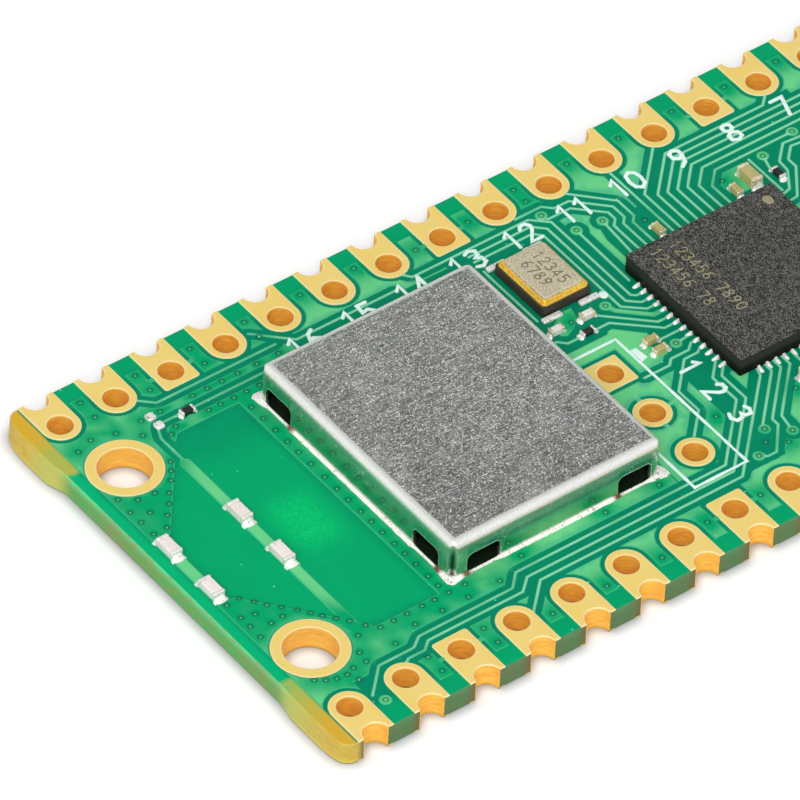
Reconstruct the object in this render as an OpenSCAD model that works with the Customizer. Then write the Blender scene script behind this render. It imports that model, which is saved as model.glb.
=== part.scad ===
// Wireless microcontroller development board: a circuit board with pins along both edges, a shielded
// radio beside a printed antenna, a processor with its crystal and memory, a power converter, a USB
// socket and a boot button that travels.
// Frame: +Z up, +Y towards the USB socket, origin under the board at the centre of the mounting holes.

/* [Board] */
// Width of the board across its two pin rows
board_w = 21; // [19:0.5:26]
// Thickness of the finished board
board_t = 1; // [0.8:0.1:1.6]
// Radius of the board's corners
board_corner_r = 0.5; // [0.2:0.1:0.8]
// Board beyond the half pitch of the last pin
end_margin = 0.1; // [0:0.05:1]
// Thickness of the copper let into each face
copper_t = 0.035; // [0.02:0.005:0.07]
// Thickness of the plating in the holes
plating_t = 0.03; // [0.02:0.005:0.06]

/* [Edge pins] */
// Pins in each row
pin_count = 20; // [19:1:24]
// Distance from pin to pin
pin_pitch = 2.54; // [2.4:0.02:2.8]
// Distance from a pin's centre to the board's edge
pin_edge = 1.61; // [1.4:0.01:2]
// Finished diameter of a pin hole
pin_hole_d = 1; // [0.8:0.05:1.1]
// Finished diameter of the half hole in the board's edge
edge_hole_d = 1.06; // [0.8:0.02:1.2]
// Width of a pin's pad
pad_w = 1.6; // [1.4:0.05:1.9]
// Corner radius of a square-ended pad
pad_corner_r = 0.12; // [0.05:0.01:0.3]

/* [Mounting holes] */
// Finished diameter of a mounting hole
mount_hole_d = 2.1; // [1.8:0.05:2.4]
// Diameter of the copper ring round a mounting hole
mount_ring_d = 3; // [2.7:0.1:3.4]
// Distance from a mounting hole to its pin row, across the board
mount_to_row = 3.19; // [2.8:0.01:4]
// Distance from a mounting hole to the board's end
mount_to_end = 2; // [1.9:0.05:3]

/* [Antenna] */
// Distance from the board's end to the shield can
antenna_l = 8.25; // [7.8:0.05:10]
// Width of the inner antenna strip
strip_w = 0.52; // [0.4:0.02:0.7]
// Distance from the board's end to the middle of the inner strip
strip_to_end = 4; // [3.6:0.1:4.6]
// Reach of the inner strip to each side
strip_reach = 4.95; // [4:0.05:5.5]
// Distance from the board's end to the middle of the outer strip
edge_strip_to_end = 0.78; // [0.7:0.02:1]
// Distance of an antenna chip part from the middle of its strip
antenna_part_x = 1.3; // [1:0.05:2]
// Gap in a strip under an antenna chip part
strip_gap = 0.4; // [0.2:0.05:0.5]

/* [Shield can] */
// Width of the can across the board
can_w = 11.8; // [10.8:0.1:13]
// Length of the can along the board
can_l = 9.8; // [9:0.1:10.6]
// Height of the can
can_h = 1.8; // [1.3:0.05:2.2]
// Sheet thickness of the can
can_sheet = 0.2; // [0.1:0.02:0.3]
// Radius of the fold along the can's top edges
can_fold_r = 0.35; // [0.2:0.05:0.6]
// Radius of the can's upright corners
can_corner_r = 0.3; // [0.1:0.05:0.5]
// Width of a window in the can's wall
window_w = 1.4; // [1:0.1:2]
// Height of a window in the can's wall
window_h = 0.8; // [0.4:0.02:1]
// Radius of a window's upper corners
window_r = 0.22; // [0.1:0.02:0.35]
// Distance from the can's corner to a window in a side wall
window_inset = 0.75; // [0.6:0.05:1.2]
// Distance from the can's corner to a window in an end wall
end_window_inset = 0.65; // [0.5:0.05:1.2]
// Place of the end walls' windows across the can, from its middle
end_window_shift = -0.15; // [-0.3:0.05:0.3]
// Width of the solder band round the can's foot
solder_w = 0.27; // [0.15:0.01:0.4]
// Height of the solder band
solder_h = 0.12; // [0.05:0.01:0.2]

/* [Debug pins] */
// Distance from the can to the debug pins
debug_to_can = 1.75; // [1.2:0.05:2]
// Place of the middle debug pin across the board
debug_x = 3.14; // [2.6:0.02:3.6]
// Width of a debug pin's pad
debug_pad_w = 1.52; // [1.4:0.02:1.8]

/* [Crystal] */
// Size of the crystal across the board
crystal_w = 3.2; // [2.5:0.1:3.6]
// Size of the crystal along the board
crystal_l = 2.5; // [2:0.1:2.8]
// Place of the crystal across the board
crystal_x = -4.72; // [-5.2:0.02:-4.4]
// Distance from the can to the crystal
crystal_to_can = 1.4; // [0.9:0.05:2]
// Height of the crystal's ceramic base
crystal_base_h = 0.44; // [0.3:0.02:0.6]
// Height of the seal ring on the base
crystal_ring_h = 0.13; // [0.08:0.01:0.2]
// Height of the lid on the seal ring
crystal_lid_h = 0.16; // [0.08:0.01:0.2]
// Step from the base in to the seal ring, and from the ring in to the lid
crystal_step = 0.15; // [0.08:0.01:0.2]

/* [Processor] */
// Side of the processor's body
mcu_w = 7; // [6.4:0.1:7.6]
// Height of the processor's body
mcu_h = 0.85; // [0.6:0.05:1.2]
// Distance from the crystal to the processor
mcu_to_crystal = 1.7; // [1.5:0.05:2.2]
// Leads on each side of the processor
mcu_side_leads = 14; // [10:1:15]
// Distance from lead to lead on the processor
mcu_lead_pitch = 0.4; // [0.35:0.01:0.44]
// Width of a processor lead
mcu_lead_w = 0.2; // [0.14:0.02:0.26]

/* [Memory chip] */
// Size of the memory chip across the board
flash_w = 3; // [2.4:0.1:3.6]
// Size of the memory chip along the board
flash_l = 2; // [1.6:0.1:2.6]
// Height of the memory chip
flash_h = 0.6; // [0.4:0.05:0.9]
// Distance from the processor to the memory chip
flash_to_mcu = 1.5; // [1.3:0.1:2.5]

/* [Power converter] */
// Side of the regulator's body
regulator_w = 3; // [2.5:0.1:3.2]
// Height of the regulator
regulator_h = 0.8; // [0.5:0.05:1]
// Size of the inductor across the board
inductor_w = 2.5; // [2:0.1:3]
// Size of the inductor along the board
inductor_l = 2; // [1.6:0.1:2.4]
// Height of the inductor
inductor_h = 1.2; // [0.8:0.1:1.6]

/* [USB socket] */
// Width of the socket's shell
usb_w = 7.5; // [7:0.1:8]
// Height of the socket's shell
usb_h = 2.5; // [2.4:0.05:2.9]
// Depth of the socket's shell
usb_d = 5.5; // [5:0.1:6]
// Sheet thickness of the shell
usb_sheet = 0.25; // [0.2:0.01:0.3]
// Shell beyond the board's end
usb_overhang = 1.3; // [0.5:0.1:1.6]
// Cut of the shell's lower corners
usb_chamfer = 0.7; // [0.4:0.05:0.9]
// Thickness of the tongue that holds the contacts
usb_tongue_t = 0.55; // [0.4:0.05:0.7]
// Side of an opening for the plug's latch in the shell's top
usb_latch_w = 0.9; // [0.6:0.05:1.2]

/* [Boot button] */
// Size of the button across the board
button_w = 3; // [2.8:0.1:3.4]
// Size of the button along the board
button_l = 3.9; // [3.2:0.1:4.4]
// Height of the button's moulded base
button_base_h = 1.3; // [1.2:0.05:1.8]
// Diameter of the plunger
plunger_d = 1.7; // [1.2:0.1:1.9]
// Rise of the plunger above the cover
plunger_rise = 0.55; // [0.4:0.05:1]
// Travel of the plunger
plunger_travel = 0.25; // [0.15:0.01:0.3]
// Clearance round the plunger
plunger_clear = 0.1; // [0.05:0.01:0.15]
// Clearance above and below the plunger's flange
plunger_gap = 0.05; // [0.03:0.01:0.08]

/* [Chip parts] */
// Smallest chip part: length, width, height, length of one end
chip_s = [0.6, 0.3, 0.3, 0.14];
// Middle chip part: length, width, height, length of one end
chip_m = [1, 0.5, 0.5, 0.22];
// Largest chip part: length, width, height, length of one end
chip_l = [1.6, 0.8, 0.8, 0.32];
// Chip part on an antenna strip: length, width, height, length of one end
chip_antenna = [1, 0.5, 0.36, 0.22];
// Height of a resistor as a share of a capacitor's
resistor_low = 0.7; // [0.4:0.05:1]

/* [Hidden] */
$fn = 48;
over = 0.5; // how far a cutting solid runs past the face that it opens

// Board
board_l = pin_count * pin_pitch + 2 * end_margin;
south_y = -board_l / 2;
north_y = board_l / 2;
row_x = board_w / 2 - pin_edge;
mount_x = row_x - mount_to_row;
mount_y = board_l / 2 - mount_to_end;
square_every = 5; // one pad in five is a square-ended ground pad
square_first = 2;
function pin_y(i) = (i - (pin_count - 1) / 2) * pin_pitch;

// Antenna end
strip_y = south_y + strip_to_end;
edge_strip_y = south_y + edge_strip_to_end;
feed_to_mount = 1.05; // antenna feed beyond the mounting holes, across the board
feed_x = -mount_x - feed_to_mount;
feed_y = strip_y + 1.62;
feed_pad_y = strip_y + 0.33;
feed_pad_gap = 0.54;
feed_pad_d = 0.34;
feed_pad_h = 0.12;

// Shield can
can_s = south_y + antenna_l;
can_n = can_s + can_l;
can_y = (can_s + can_n) / 2;
bend_min = 0.05; // sharpest bend inside the sheet
can_inner_fold_r = max(bend_min, can_fold_r - can_sheet);
can_inner_corner_r = max(bend_min, can_corner_r - can_sheet);
window_x = can_w / 2 - end_window_inset - window_w / 2;
window_y = can_l / 2 - window_inset - window_w / 2;

// Radio inside the can
radio_size = [4.8, 2.9, 0.55];
radio_at = [-0.6, 0.5];
radio_xtal_size = [2, 1.6, 0.5];
radio_xtal_at = [-3.4, -1.9];
radio_column_x = 2.9;
radio_column_pitch = 1.2;
radio_row_at = [0.15, -2.6];
radio_row_pitch = 1.1;
radio_parts = [
    for (i = [-2:2]) [radio_column_x, can_y + i * radio_column_pitch, 0],
    for (i = [-1.5:1.5]) [radio_row_at[0] + i * radio_row_pitch, can_y + radio_row_at[1], 90]
];

// Debug pins and crystal
debug_y = can_n + debug_to_can;
debug_pin = [for (i = [-1:1]) debug_x + i * pin_pitch];
crystal_y = can_n + crystal_to_can + crystal_l / 2;
crystal_n = crystal_y + crystal_l / 2;
crystal_foot = [0.22, 0.85, 0.1];
crystal_foot_y = crystal_l / 2 - crystal_foot[1] / 2 + 0.05;
crystal_r = 0.12;

// Processor and memory
mcu_s = crystal_n + mcu_to_crystal;
mcu_y = mcu_s + mcu_w / 2;
mcu_n = mcu_s + mcu_w;
mcu_side = mcu_w / 2;
lead_h = 0.2;
lead_under = 0.35;
lead_out = 0.06;
lead_lift = 0.02;
dot_depth = 0.03;
dot_d = 0.5;
dot_inset = 0.7;
mcu_paddle = 3.2;
flash_x = 0.9;
flash_y = mcu_n + flash_to_mcu + flash_l / 2;
flash_n = flash_y + flash_l / 2;
flash_pitch = 0.5;
flash_side_leads = 4;

// USB socket
usb_front_y = north_y + usb_overhang;
usb_rear_y = usb_front_y - usb_d;
usb_block_d = 1.9;
usb_tongue_w = 3.7;
usb_tongue_set = 1; // tongue tip behind the mouth
usb_tongue_z = board_t + usb_h * 0.56;
usb_contact_w = 0.3;
usb_contact_t = 0.1;
usb_contact_pitch = 0.65;
usb_contact_count = 5;
usb_contact_clear = 0.1;
usb_slot_w = (usb_contact_count - 1) * usb_contact_pitch + usb_contact_w + 2 * usb_contact_clear;
usb_tail = 0.6;
usb_lug = [0.6, 0.8];
usb_lug_l = usb_chamfer + usb_lug[0];
usb_latch_x = usb_w / 4;
usb_latch_set = 2; // latch openings behind the mouth

// Power converter and button, centred between the memory chip and the socket
mid_y = (flash_n + usb_rear_y) / 2;
converter_x = 4.9; // converter's column, across the board
regulator_at = [converter_x, mid_y + 2];
regulator_pitch = 0.5;
regulator_side_leads = 4;
inductor_at = [converter_x, mid_y - 1.8];
inductor_end = 0.5;
inductor_r = 0.25;
diode_at = [0.2, mid_y + 2.6];
diode_size = [2.6, 1.6, 1];
diode_lead_w = 0.9;
transistor_at = [0, mid_y - 0.5];
transistor_size = [2, 1.25, 0.9];
transistor_lead_w = 0.3;
transistor_lead_x = 0.65;
gull_t = 0.12;
gull_reach = 0.45;
gull_drop = 0.45;
body_lift = 0.08;

// Boot button
button_x = -3.7;
button_at = [button_x, mid_y];
cover_t = 0.15;
cover_tab = [0.12, 1.2, 0.8];
flange_t = 0.25;
flange_lip = 0.25;
dome_h = 0.25;
dome_t = 0.06;
dome_d = plunger_d + 2 * flange_lip;
cavity_d = dome_d + 4 * plunger_clear;
cavity_depth = dome_h + plunger_travel + flange_t + 2 * plunger_gap;
cover_z = board_t + button_base_h;
cavity_z = cover_z - cavity_depth;
dome_r = (dome_d * dome_d / 4 + dome_h * dome_h) / (2 * dome_h);
button_foot = [0.7, 0.35, 0.15];
button_foot_x = 1;
plunger_round = 0.12;

// Status light
led_to_usb = 2.55; // light beyond the socket's side
led_at = [-usb_w / 2 - led_to_usb, usb_rear_y - 1, 0];
led_base_h = 0.25;
led_lens_h = 0.35;
led_chip = [chip_l[0], chip_l[1], led_base_h, chip_l[3]];

// Chip parts: place across, place along, turn
capacitors_s = [
    [0.14, mcu_s - 1.62, 90],
    [0.74, mcu_s - 1.62, 90],
    [-mcu_side - 0.98, mcu_y + 2.65, 0],
    [-mcu_side - 0.96, mcu_y - 1.1, 0],
    [mcu_side + 0.98, mcu_y + 2.4, 0],
    [-1, mcu_n + 0.75, 90]
];
capacitors_m = [
    [-mcu_side - 1.22, mcu_y + 3.49, 0],
    [mcu_side + 1.45, mcu_y - 1.2, 90],
    [-1.7, flash_y, 90],
    [3.3, flash_y, 90]
];
capacitors_l_x = converter_x - regulator_w / 2 - 1.05;
capacitors_l = [for (y = [mid_y + 1.2, mid_y - 1.5]) [capacitors_l_x, y, 90]];
load_capacitors = [
    [crystal_x + crystal_w / 2 + 0.82, crystal_y + 0.23, 90],
    [crystal_x + crystal_w / 2 + 0.82, crystal_y - 1.23, 90]
];
resistors_s = [
    [crystal_x + crystal_w / 2 + 1.52, crystal_y - 0.27, 90],
    [-mcu_side - 0.86, mcu_n + 1.11, 0]
];
resistors_m = [
    [button_x - button_w / 2 - 1.3, mid_y + 1.1, 90],
    [button_x - button_w / 2 - 1.3, mid_y - 0.9, 90],
    [converter_x + regulator_w / 2 + 0.7, mid_y + 2.2, 90],
    [converter_x + regulator_w / 2 + 0.7, mid_y + 0.6, 90],
    [led_at[0] + led_chip[0] + 0.4, led_at[1], 0]
];
antenna_parts = [for (y = [strip_y, edge_strip_y], side = [-1, 1]) [side * antenna_part_x, y, 0]];

// Rectangle with rounded corners, centred
module rounded(w, l, r) {
    square([w - 2 * r, l], center = true);
    square([w, l - 2 * r], center = true);
    for (x = [-1, 1], y = [-1, 1])
        translate([x * (w / 2 - r), y * (l / 2 - r)]) circle(r);
}

// Upright block on the board's top face
module on_board(at, size) {
    translate([at[0], at[1], board_t])
        linear_extrude(size[2])
        square([size[0], size[1]], center = true);
}

// Copper plates of one flat shape, let into both faces of the board
module plated() {
    for (z = [0, board_t - copper_t]) translate([0, 0, z]) linear_extrude(copper_t) children();
}

// Room in both faces of the board for the copper plates of one flat shape
module plate_rooms() {
    for (z = [-over, board_t - copper_t])
        translate([0, 0, z]) linear_extrude(copper_t + over) children();
}

// Drilled hole through the board
module drilled(d) {
    translate([0, 0, -over]) cylinder(d = d, h = board_t + 2 * over);
}

// Board outline
module board_outline() {
    rounded(board_w, board_l, board_corner_r);
}

// Flat shape of one edge pad on the +X side, its pin at the origin's height
module edge_pad_shape(i) {
    reach = board_w / 2 - row_x;
    back = pad_w / 2;
    if (i % square_every == square_first) {
        translate([reach / 2 - back / 2, 0]) rounded(reach + back, pad_w, pad_corner_r);
        translate([reach / 2, 0]) square([reach, pad_w], center = true);
    } else {
        circle(back);
        translate([reach / 2, 0]) square([reach, pad_w], center = true);
    }
}

module at_edge_pins(side) {
    for (i = [0:pin_count - 1])
        translate([side * row_x, pin_y(i), 0]) rotate(side > 0 ? 0 : 180) {
            $pin = i;
            children();
        }
}

// Drilled holes of one edge pad, wider by the plating where it is the board that is cut
module edge_pad_holes(grow) {
    drilled(pin_hole_d + 2 * grow);
    translate([pin_edge, 0, 0]) drilled(edge_hole_d + 2 * grow);
}

// One edge pad: two plates joined by the plating of the pin hole and of the half hole
module edge_pad(i) {
    half = edge_hole_d / 2 + plating_t;
    difference() {
        union() {
            plated() edge_pad_shape(i);
            cylinder(d = pin_hole_d + 2 * plating_t, h = board_t);
            intersection() {
                translate([pin_edge, 0, 0]) cylinder(r = half, h = board_t);
                translate([pin_edge - half, -half, 0]) cube([half, 2 * half, board_t]);
            }
        }
        edge_pad_holes(0);
    }
}

module left_edge_pads() color("#f0bf62") at_edge_pins(-1) edge_pad($pin);
module right_edge_pads() color("#f0bf62") at_edge_pins(1) edge_pad($pin);

module at_mounts() {
    for (x = [-1, 1], y = [-1, 1]) translate([x * mount_x, y * mount_y, 0]) children();
}

module mounting_hole_plating() color("#f0bf62") at_mounts() difference() {
    union() {
        plated() circle(d = mount_ring_d);
        cylinder(d = mount_hole_d + 2 * plating_t, h = board_t);
    }
    drilled(mount_hole_d);
}

// Debug pads: the first is square, the others are round
module debug_shape(i) {
    if (i == 0) square(debug_pad_w, center = true);
    else circle(d = debug_pad_w);
}

module at_debug_pins() {
    for (i = [0:2])
        translate([debug_pin[i], debug_y, 0]) {
            $pin = i;
            children();
        }
}

module debug_pads() color("#f0bf62") at_debug_pins() difference() {
    union() {
        plated() debug_shape($pin);
        cylinder(d = pin_hole_d + 2 * plating_t, h = board_t);
    }
    drilled(pin_hole_d);
}

// Strips of the printed antenna: the inner one comes to a point where it is fed
module strip_shapes() {
    inner = antenna_part_x - strip_gap / 2;
    outer = antenna_part_x + strip_gap / 2;
    tip = strip_w / 2;
    translate([0, strip_y]) {
        square([2 * inner, strip_w], center = true);
        translate([outer, -strip_w / 2]) square([strip_reach - outer, strip_w]);
        polygon([[-strip_reach, 0], [-strip_reach + tip, -tip], [-outer, -tip], [-outer, tip],
            [-strip_reach + tip, tip]]);
    }
    translate([0, edge_strip_y]) square([2 * inner, strip_w], center = true);
}

module antenna_strips() color("#7ccb74") translate([0, 0, board_t - copper_t])
    linear_extrude(copper_t) strip_shapes();

// Laminate with its solder mask: copper is let into both faces
module wiring_board() color("#0a9a6b") difference() {
    linear_extrude(board_t) board_outline();
    for (side = [-1, 1]) at_edge_pins(side) {
        plate_rooms() edge_pad_shape($pin);
        edge_pad_holes(plating_t);
    }
    at_mounts() {
        plate_rooms() circle(d = mount_ring_d);
        drilled(mount_hole_d + 2 * plating_t);
    }
    at_debug_pins() {
        plate_rooms() debug_shape($pin);
        drilled(pin_hole_d + 2 * plating_t);
    }
    translate([0, 0, board_t - copper_t]) linear_extrude(copper_t + over) strip_shapes();
}

// Box with folded top edges and round upright corners, standing on its origin
module folded_box(w, l, h, fold_r, corner_r) {
    intersection() {
        linear_extrude(h) rounded(w, l, corner_r);
        rotate([90, 0, 0]) translate([0, 0, -l]) linear_extrude(2 * l) folded_profile(w, h, fold_r);
        rotate([90, 0, 90]) translate([0, 0, -w]) linear_extrude(2 * w) folded_profile(l, h, fold_r);
    }
}

module folded_profile(w, h, r) {
    translate([-w / 2, 0]) square([w, h - r]);
    translate([-w / 2 + r, 0]) square([w - 2 * r, h]);
    for (x = [-1, 1]) translate([x * (w / 2 - r), h - r]) circle(r);
}

// Window with rounded upper corners, cut through both opposite walls
module window_cut(reach) {
    rotate([90, 0, 0]) translate([0, 0, -reach]) linear_extrude(2 * reach) {
        translate([-window_w / 2, -over]) square([window_w, window_h - window_r + over]);
        translate([-window_w / 2 + window_r, -over]) square([window_w - 2 * window_r, window_h + over]);
        for (x = [-1, 1]) translate([x * (window_w / 2 - window_r), window_h - window_r]) circle(window_r);
    }
}

module shield_can() color("#b4b4b2") translate([0, can_y, board_t]) difference() {
    folded_box(can_w, can_l, can_h, can_fold_r, can_corner_r);
    translate([0, 0, -over]) folded_box(can_w - 2 * can_sheet, can_l - 2 * can_sheet,
        can_h - can_sheet + over, can_inner_fold_r, can_inner_corner_r);
    for (x = [-1, 1]) translate([end_window_shift + x * window_x, 0, 0]) window_cut(can_l);
    for (y = [-1, 1]) translate([0, y * window_y, 0]) rotate(90) window_cut(can_w);
}

module shield_solder() color("#e2e2de") translate([0, can_y, board_t])
    linear_extrude(solder_h) difference() {
        rounded(can_w + 2 * solder_w, can_l + 2 * solder_w, can_corner_r + solder_w);
        rounded(can_w, can_l, can_corner_r);
    }

module radio_chip() color("#2b2b2d") on_board([radio_at[0], can_y + radio_at[1]], radio_size);

module radio_crystal() color("#a9a59b")
    on_board([radio_xtal_at[0], can_y + radio_xtal_at[1]], radio_xtal_size);

// Middle of a chip part and its two metal ends
module chip_body(s, at) {
    translate([at[0], at[1], board_t]) rotate(at[2]) linear_extrude(s[2])
        square([s[0] - 2 * s[3], s[1]], center = true);
}

module chip_ends(s, at) {
    for (x = [-1, 1]) translate([at[0], at[1], board_t]) rotate(at[2])
        translate([x * (s[0] - s[3]) / 2, 0, 0]) linear_extrude(s[2]) square([s[3], s[1]], center = true);
}

function lower(s) = [s[0], s[1], s[2] * resistor_low, s[3]];

module radio_part_bodies() color("#b98a55") for (p = radio_parts) chip_body(chip_s, p);
module radio_part_ends() color("#d8d8d4") for (p = radio_parts) chip_ends(chip_s, p);

module crystal_base() color("#4a403c") translate([crystal_x, crystal_y, board_t])
    linear_extrude(crystal_base_h) rounded(crystal_w, crystal_l, crystal_r);

module crystal_ring() color("#d9b23c") translate([crystal_x, crystal_y, board_t + crystal_base_h])
    linear_extrude(crystal_ring_h)
    rounded(crystal_w - 2 * crystal_step, crystal_l - 2 * crystal_step, crystal_r);

module crystal_lid() color("#a8a199")
    translate([crystal_x, crystal_y, board_t + crystal_base_h + crystal_ring_h])
    linear_extrude(crystal_lid_h)
    rounded(crystal_w - 4 * crystal_step, crystal_l - 4 * crystal_step, crystal_r);

module crystal_solder() color("#e2e2de") translate([crystal_x, crystal_y, 0])
    for (x = [-1, 1], y = [-1, 1])
        on_board([x * (crystal_w + crystal_foot[0]) / 2, y * crystal_foot_y], crystal_foot);

// Leads of a flat leadless chip: nx along each end, ny along each side
module flat_leads(w, l, nx, ny, pitch, lead_w) {
    deep = lead_under + lead_out;
    for (side = [-1, 1]) {
        if (nx > 0) for (i = [0:nx - 1])
            translate([(i - (nx - 1) / 2) * pitch, side * (l / 2 + lead_out - deep / 2), 0])
                linear_extrude(lead_h) square([lead_w, deep], center = true);
        if (ny > 0) for (i = [0:ny - 1])
            translate([side * (w / 2 + lead_out - deep / 2), (i - (ny - 1) / 2) * pitch, 0])
                linear_extrude(lead_h) square([deep, lead_w], center = true);
    }
}

// Moulded body of a flat leadless chip with seats for its leads and a first-pin dot
module flat_body(w, l, h, dot) {
    difference() {
        translate([0, 0, lead_lift]) linear_extrude(h - lead_lift) square([w, l], center = true);
        children();
        translate([-w / 2 + dot_inset, l / 2 - dot_inset, h - dot_depth]) cylinder(d = dot, h = over);
    }
}

module mcu_lead_set() {
    flat_leads(mcu_w, mcu_w, mcu_side_leads, mcu_side_leads, mcu_lead_pitch, mcu_lead_w);
    linear_extrude(lead_lift) square(mcu_paddle, center = true);
}

module mcu_body() color("#3a3838") translate([0, mcu_y, board_t])
    flat_body(mcu_w, mcu_w, mcu_h, dot_d) mcu_lead_set();
module mcu_leads() color("#dcdcd8") translate([0, mcu_y, board_t]) mcu_lead_set();

module flash_lead_set() flat_leads(flash_w, flash_l, flash_side_leads, 0, flash_pitch, mcu_lead_w);
module flash_body() color("#2d2c2e") translate([flash_x, flash_y, board_t])
    flat_body(flash_w, flash_l, flash_h, dot_d / 2) flash_lead_set();
module flash_leads() color("#dcdcd8") translate([flash_x, flash_y, board_t]) flash_lead_set();

module regulator_lead_set() flat_leads(regulator_w, regulator_w, regulator_side_leads,
    regulator_side_leads, regulator_pitch, mcu_lead_w);
module regulator_body() color("#2d2c2e") translate([regulator_at[0], regulator_at[1], board_t])
    flat_body(regulator_w, regulator_w, regulator_h, dot_d / 2) regulator_lead_set();
module regulator_leads() color("#dcdcd8") translate([regulator_at[0], regulator_at[1], board_t])
    regulator_lead_set();

module inductor_body() color("#55565a") translate([inductor_at[0], inductor_at[1], board_t])
    linear_extrude(inductor_h) rounded(inductor_w - 2 * inductor_end, inductor_l, inductor_r);

module inductor_ends() color("#d0d0cc") translate([inductor_at[0], inductor_at[1], board_t])
    linear_extrude(inductor_h) difference() {
        rounded(inductor_w, inductor_l, inductor_r);
        rounded(inductor_w - 2 * inductor_end, inductor_l, inductor_r);
        square([inductor_w - 2 * inductor_end, inductor_l + over], center = true);
    }

// Bent lead in the XZ plane, from a body's side at x = 0 down to the board
module gull_lead(w) {
    rotate([90, 0, 0]) translate([0, 0, -w / 2]) linear_extrude(w) polygon([
        [0, gull_drop], [gull_t, gull_drop], [gull_t, gull_t], [gull_reach, gull_t], [gull_reach, 0],
        [0, 0]
    ]);
}

module diode_body() color("#2d2c2e") translate([diode_at[0], diode_at[1], board_t + body_lift])
    linear_extrude(diode_size[2]) square([diode_size[0], diode_size[1]], center = true);

module diode_leads() color("#d0d0cc") for (side = [0, 180])
    translate([diode_at[0], diode_at[1], board_t]) rotate(side)
        translate([diode_size[0] / 2, 0, 0]) gull_lead(diode_lead_w);

module transistor_body() color("#2d2c2e")
    translate([transistor_at[0], transistor_at[1], board_t + body_lift])
    linear_extrude(transistor_size[2])
    square([transistor_size[0], transistor_size[1]], center = true);

module transistor_leads() color("#d0d0cc")
    translate([transistor_at[0], transistor_at[1], board_t]) {
        for (x = [-1, 1]) translate([x * transistor_lead_x, -transistor_size[1] / 2, 0]) rotate(-90)
            gull_lead(transistor_lead_w);
        translate([0, transistor_size[1] / 2, 0]) rotate(90) gull_lead(transistor_lead_w);
    }

// Mouth of the socket, seen along the board: the lower corners are cut
module usb_profile(inset) {
    x = usb_w / 2 - inset;
    z0 = inset;
    z1 = usb_h - inset;
    cut = usb_chamfer;
    polygon([[-x + cut, z0], [x - cut, z0], [x, z0 + cut], [x, z1], [-x, z1], [-x, z0 + cut]]);
}

// Carries a flat XZ shape along +Y from the socket's rear
module along_usb(from, d) {
    translate([0, usb_rear_y + from + d, board_t]) rotate([90, 0, 0]) linear_extrude(d) children();
}

// Folded shell with two latch openings, a slot for the contacts and a soldered lug at each rear corner
module usb_shell() color("#c4c5c6") {
    difference() {
        along_usb(0, usb_d) difference() {
            usb_profile(0);
            usb_profile(usb_sheet);
        }
        for (side = [-1, 1])
            translate([side * usb_latch_x, usb_front_y - usb_latch_set, board_t + usb_h - usb_sheet - over])
                linear_extrude(usb_sheet + 2 * over) square(usb_latch_w, center = true);
        translate([-usb_slot_w / 2, usb_rear_y - over, board_t - over])
            cube([usb_slot_w, usb_sheet + usb_contact_clear + over, usb_sheet + 2 * over]);
    }
    for (side = [-1, 1])
        translate([side * ((usb_w + usb_lug_l) / 2 - usb_chamfer), usb_rear_y + usb_lug[1] / 2, board_t])
            linear_extrude(usb_sheet) square([usb_lug_l, usb_lug[1]], center = true);
}

module usb_contact_set() {
    for (i = [0:usb_contact_count - 1])
        translate([(i - (usb_contact_count - 1) / 2) * usb_contact_pitch - usb_contact_w / 2, 0, 0]) {
            top = usb_tongue_z;
            translate([0, usb_rear_y - usb_tail, board_t])
                cube([usb_contact_w, usb_tail + usb_sheet, usb_contact_t]);
            translate([0, usb_rear_y + usb_sheet - usb_contact_t, board_t])
                cube([usb_contact_w, usb_contact_t, top - board_t]);
            translate([0, usb_rear_y + usb_sheet - usb_contact_t, top - usb_contact_t])
                cube([usb_contact_w, usb_d - usb_tongue_set - usb_sheet - usb_contact_t, usb_contact_t]);
        }
}

module usb_contacts() color("#d8b75a") usb_contact_set();

// Moulded block at the socket's rear, with the tongue that carries the contacts
module usb_housing() color("#28282a") difference() {
    union() {
        along_usb(0, usb_block_d) usb_profile(usb_sheet);
        translate([-usb_tongue_w / 2, usb_rear_y, usb_tongue_z])
            cube([usb_tongue_w, usb_d - usb_tongue_set, usb_tongue_t]);
    }
    usb_contact_set();
}

module at_button() translate([button_at[0], button_at[1], 0]) children();

module button_base() color("#2c2c2e") at_button() difference() {
    translate([0, 0, board_t]) linear_extrude(button_base_h) square([button_w, button_l], center = true);
    translate([0, 0, cavity_z]) cylinder(d = cavity_d, h = cavity_depth + over);
}

module button_cover() color("#c9cacb") at_button() {
    translate([0, 0, cover_z]) difference() {
        linear_extrude(cover_t) square([button_w + 2 * cover_tab[0], button_l], center = true);
        translate([0, 0, -over]) cylinder(d = plunger_d + 2 * plunger_clear, h = cover_t + 2 * over);
    }
    for (side = [-1, 1])
        translate([side * (button_w + cover_tab[0]) / 2, 0, cover_z - cover_tab[2]])
            linear_extrude(cover_tab[2]) square([cover_tab[0], cover_tab[1]], center = true);
}

// Domed steel snap disc that lies on the floor of the base
module button_dome() color("#d2d3d4") at_button() translate([0, 0, cavity_z]) difference() {
    intersection() {
        translate([0, 0, dome_h - dome_r]) sphere(dome_r);
        cylinder(d = dome_d, h = dome_h);
    }
    translate([0, 0, dome_h - dome_r]) sphere(dome_r - dome_t);
}

module button_plunger() color("#e9e6dc") at_button() {
    flange_z = cover_z - plunger_gap - flange_t;
    top_z = cover_z + cover_t + plunger_rise;
    rotate_extrude() polygon([
        [0, flange_z], [dome_d / 2, flange_z], [dome_d / 2, flange_z + flange_t],
        [plunger_d / 2, flange_z + flange_t], [plunger_d / 2, top_z - plunger_round],
        [plunger_d / 2 - plunger_round, top_z], [0, top_z]
    ]);
}

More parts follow.
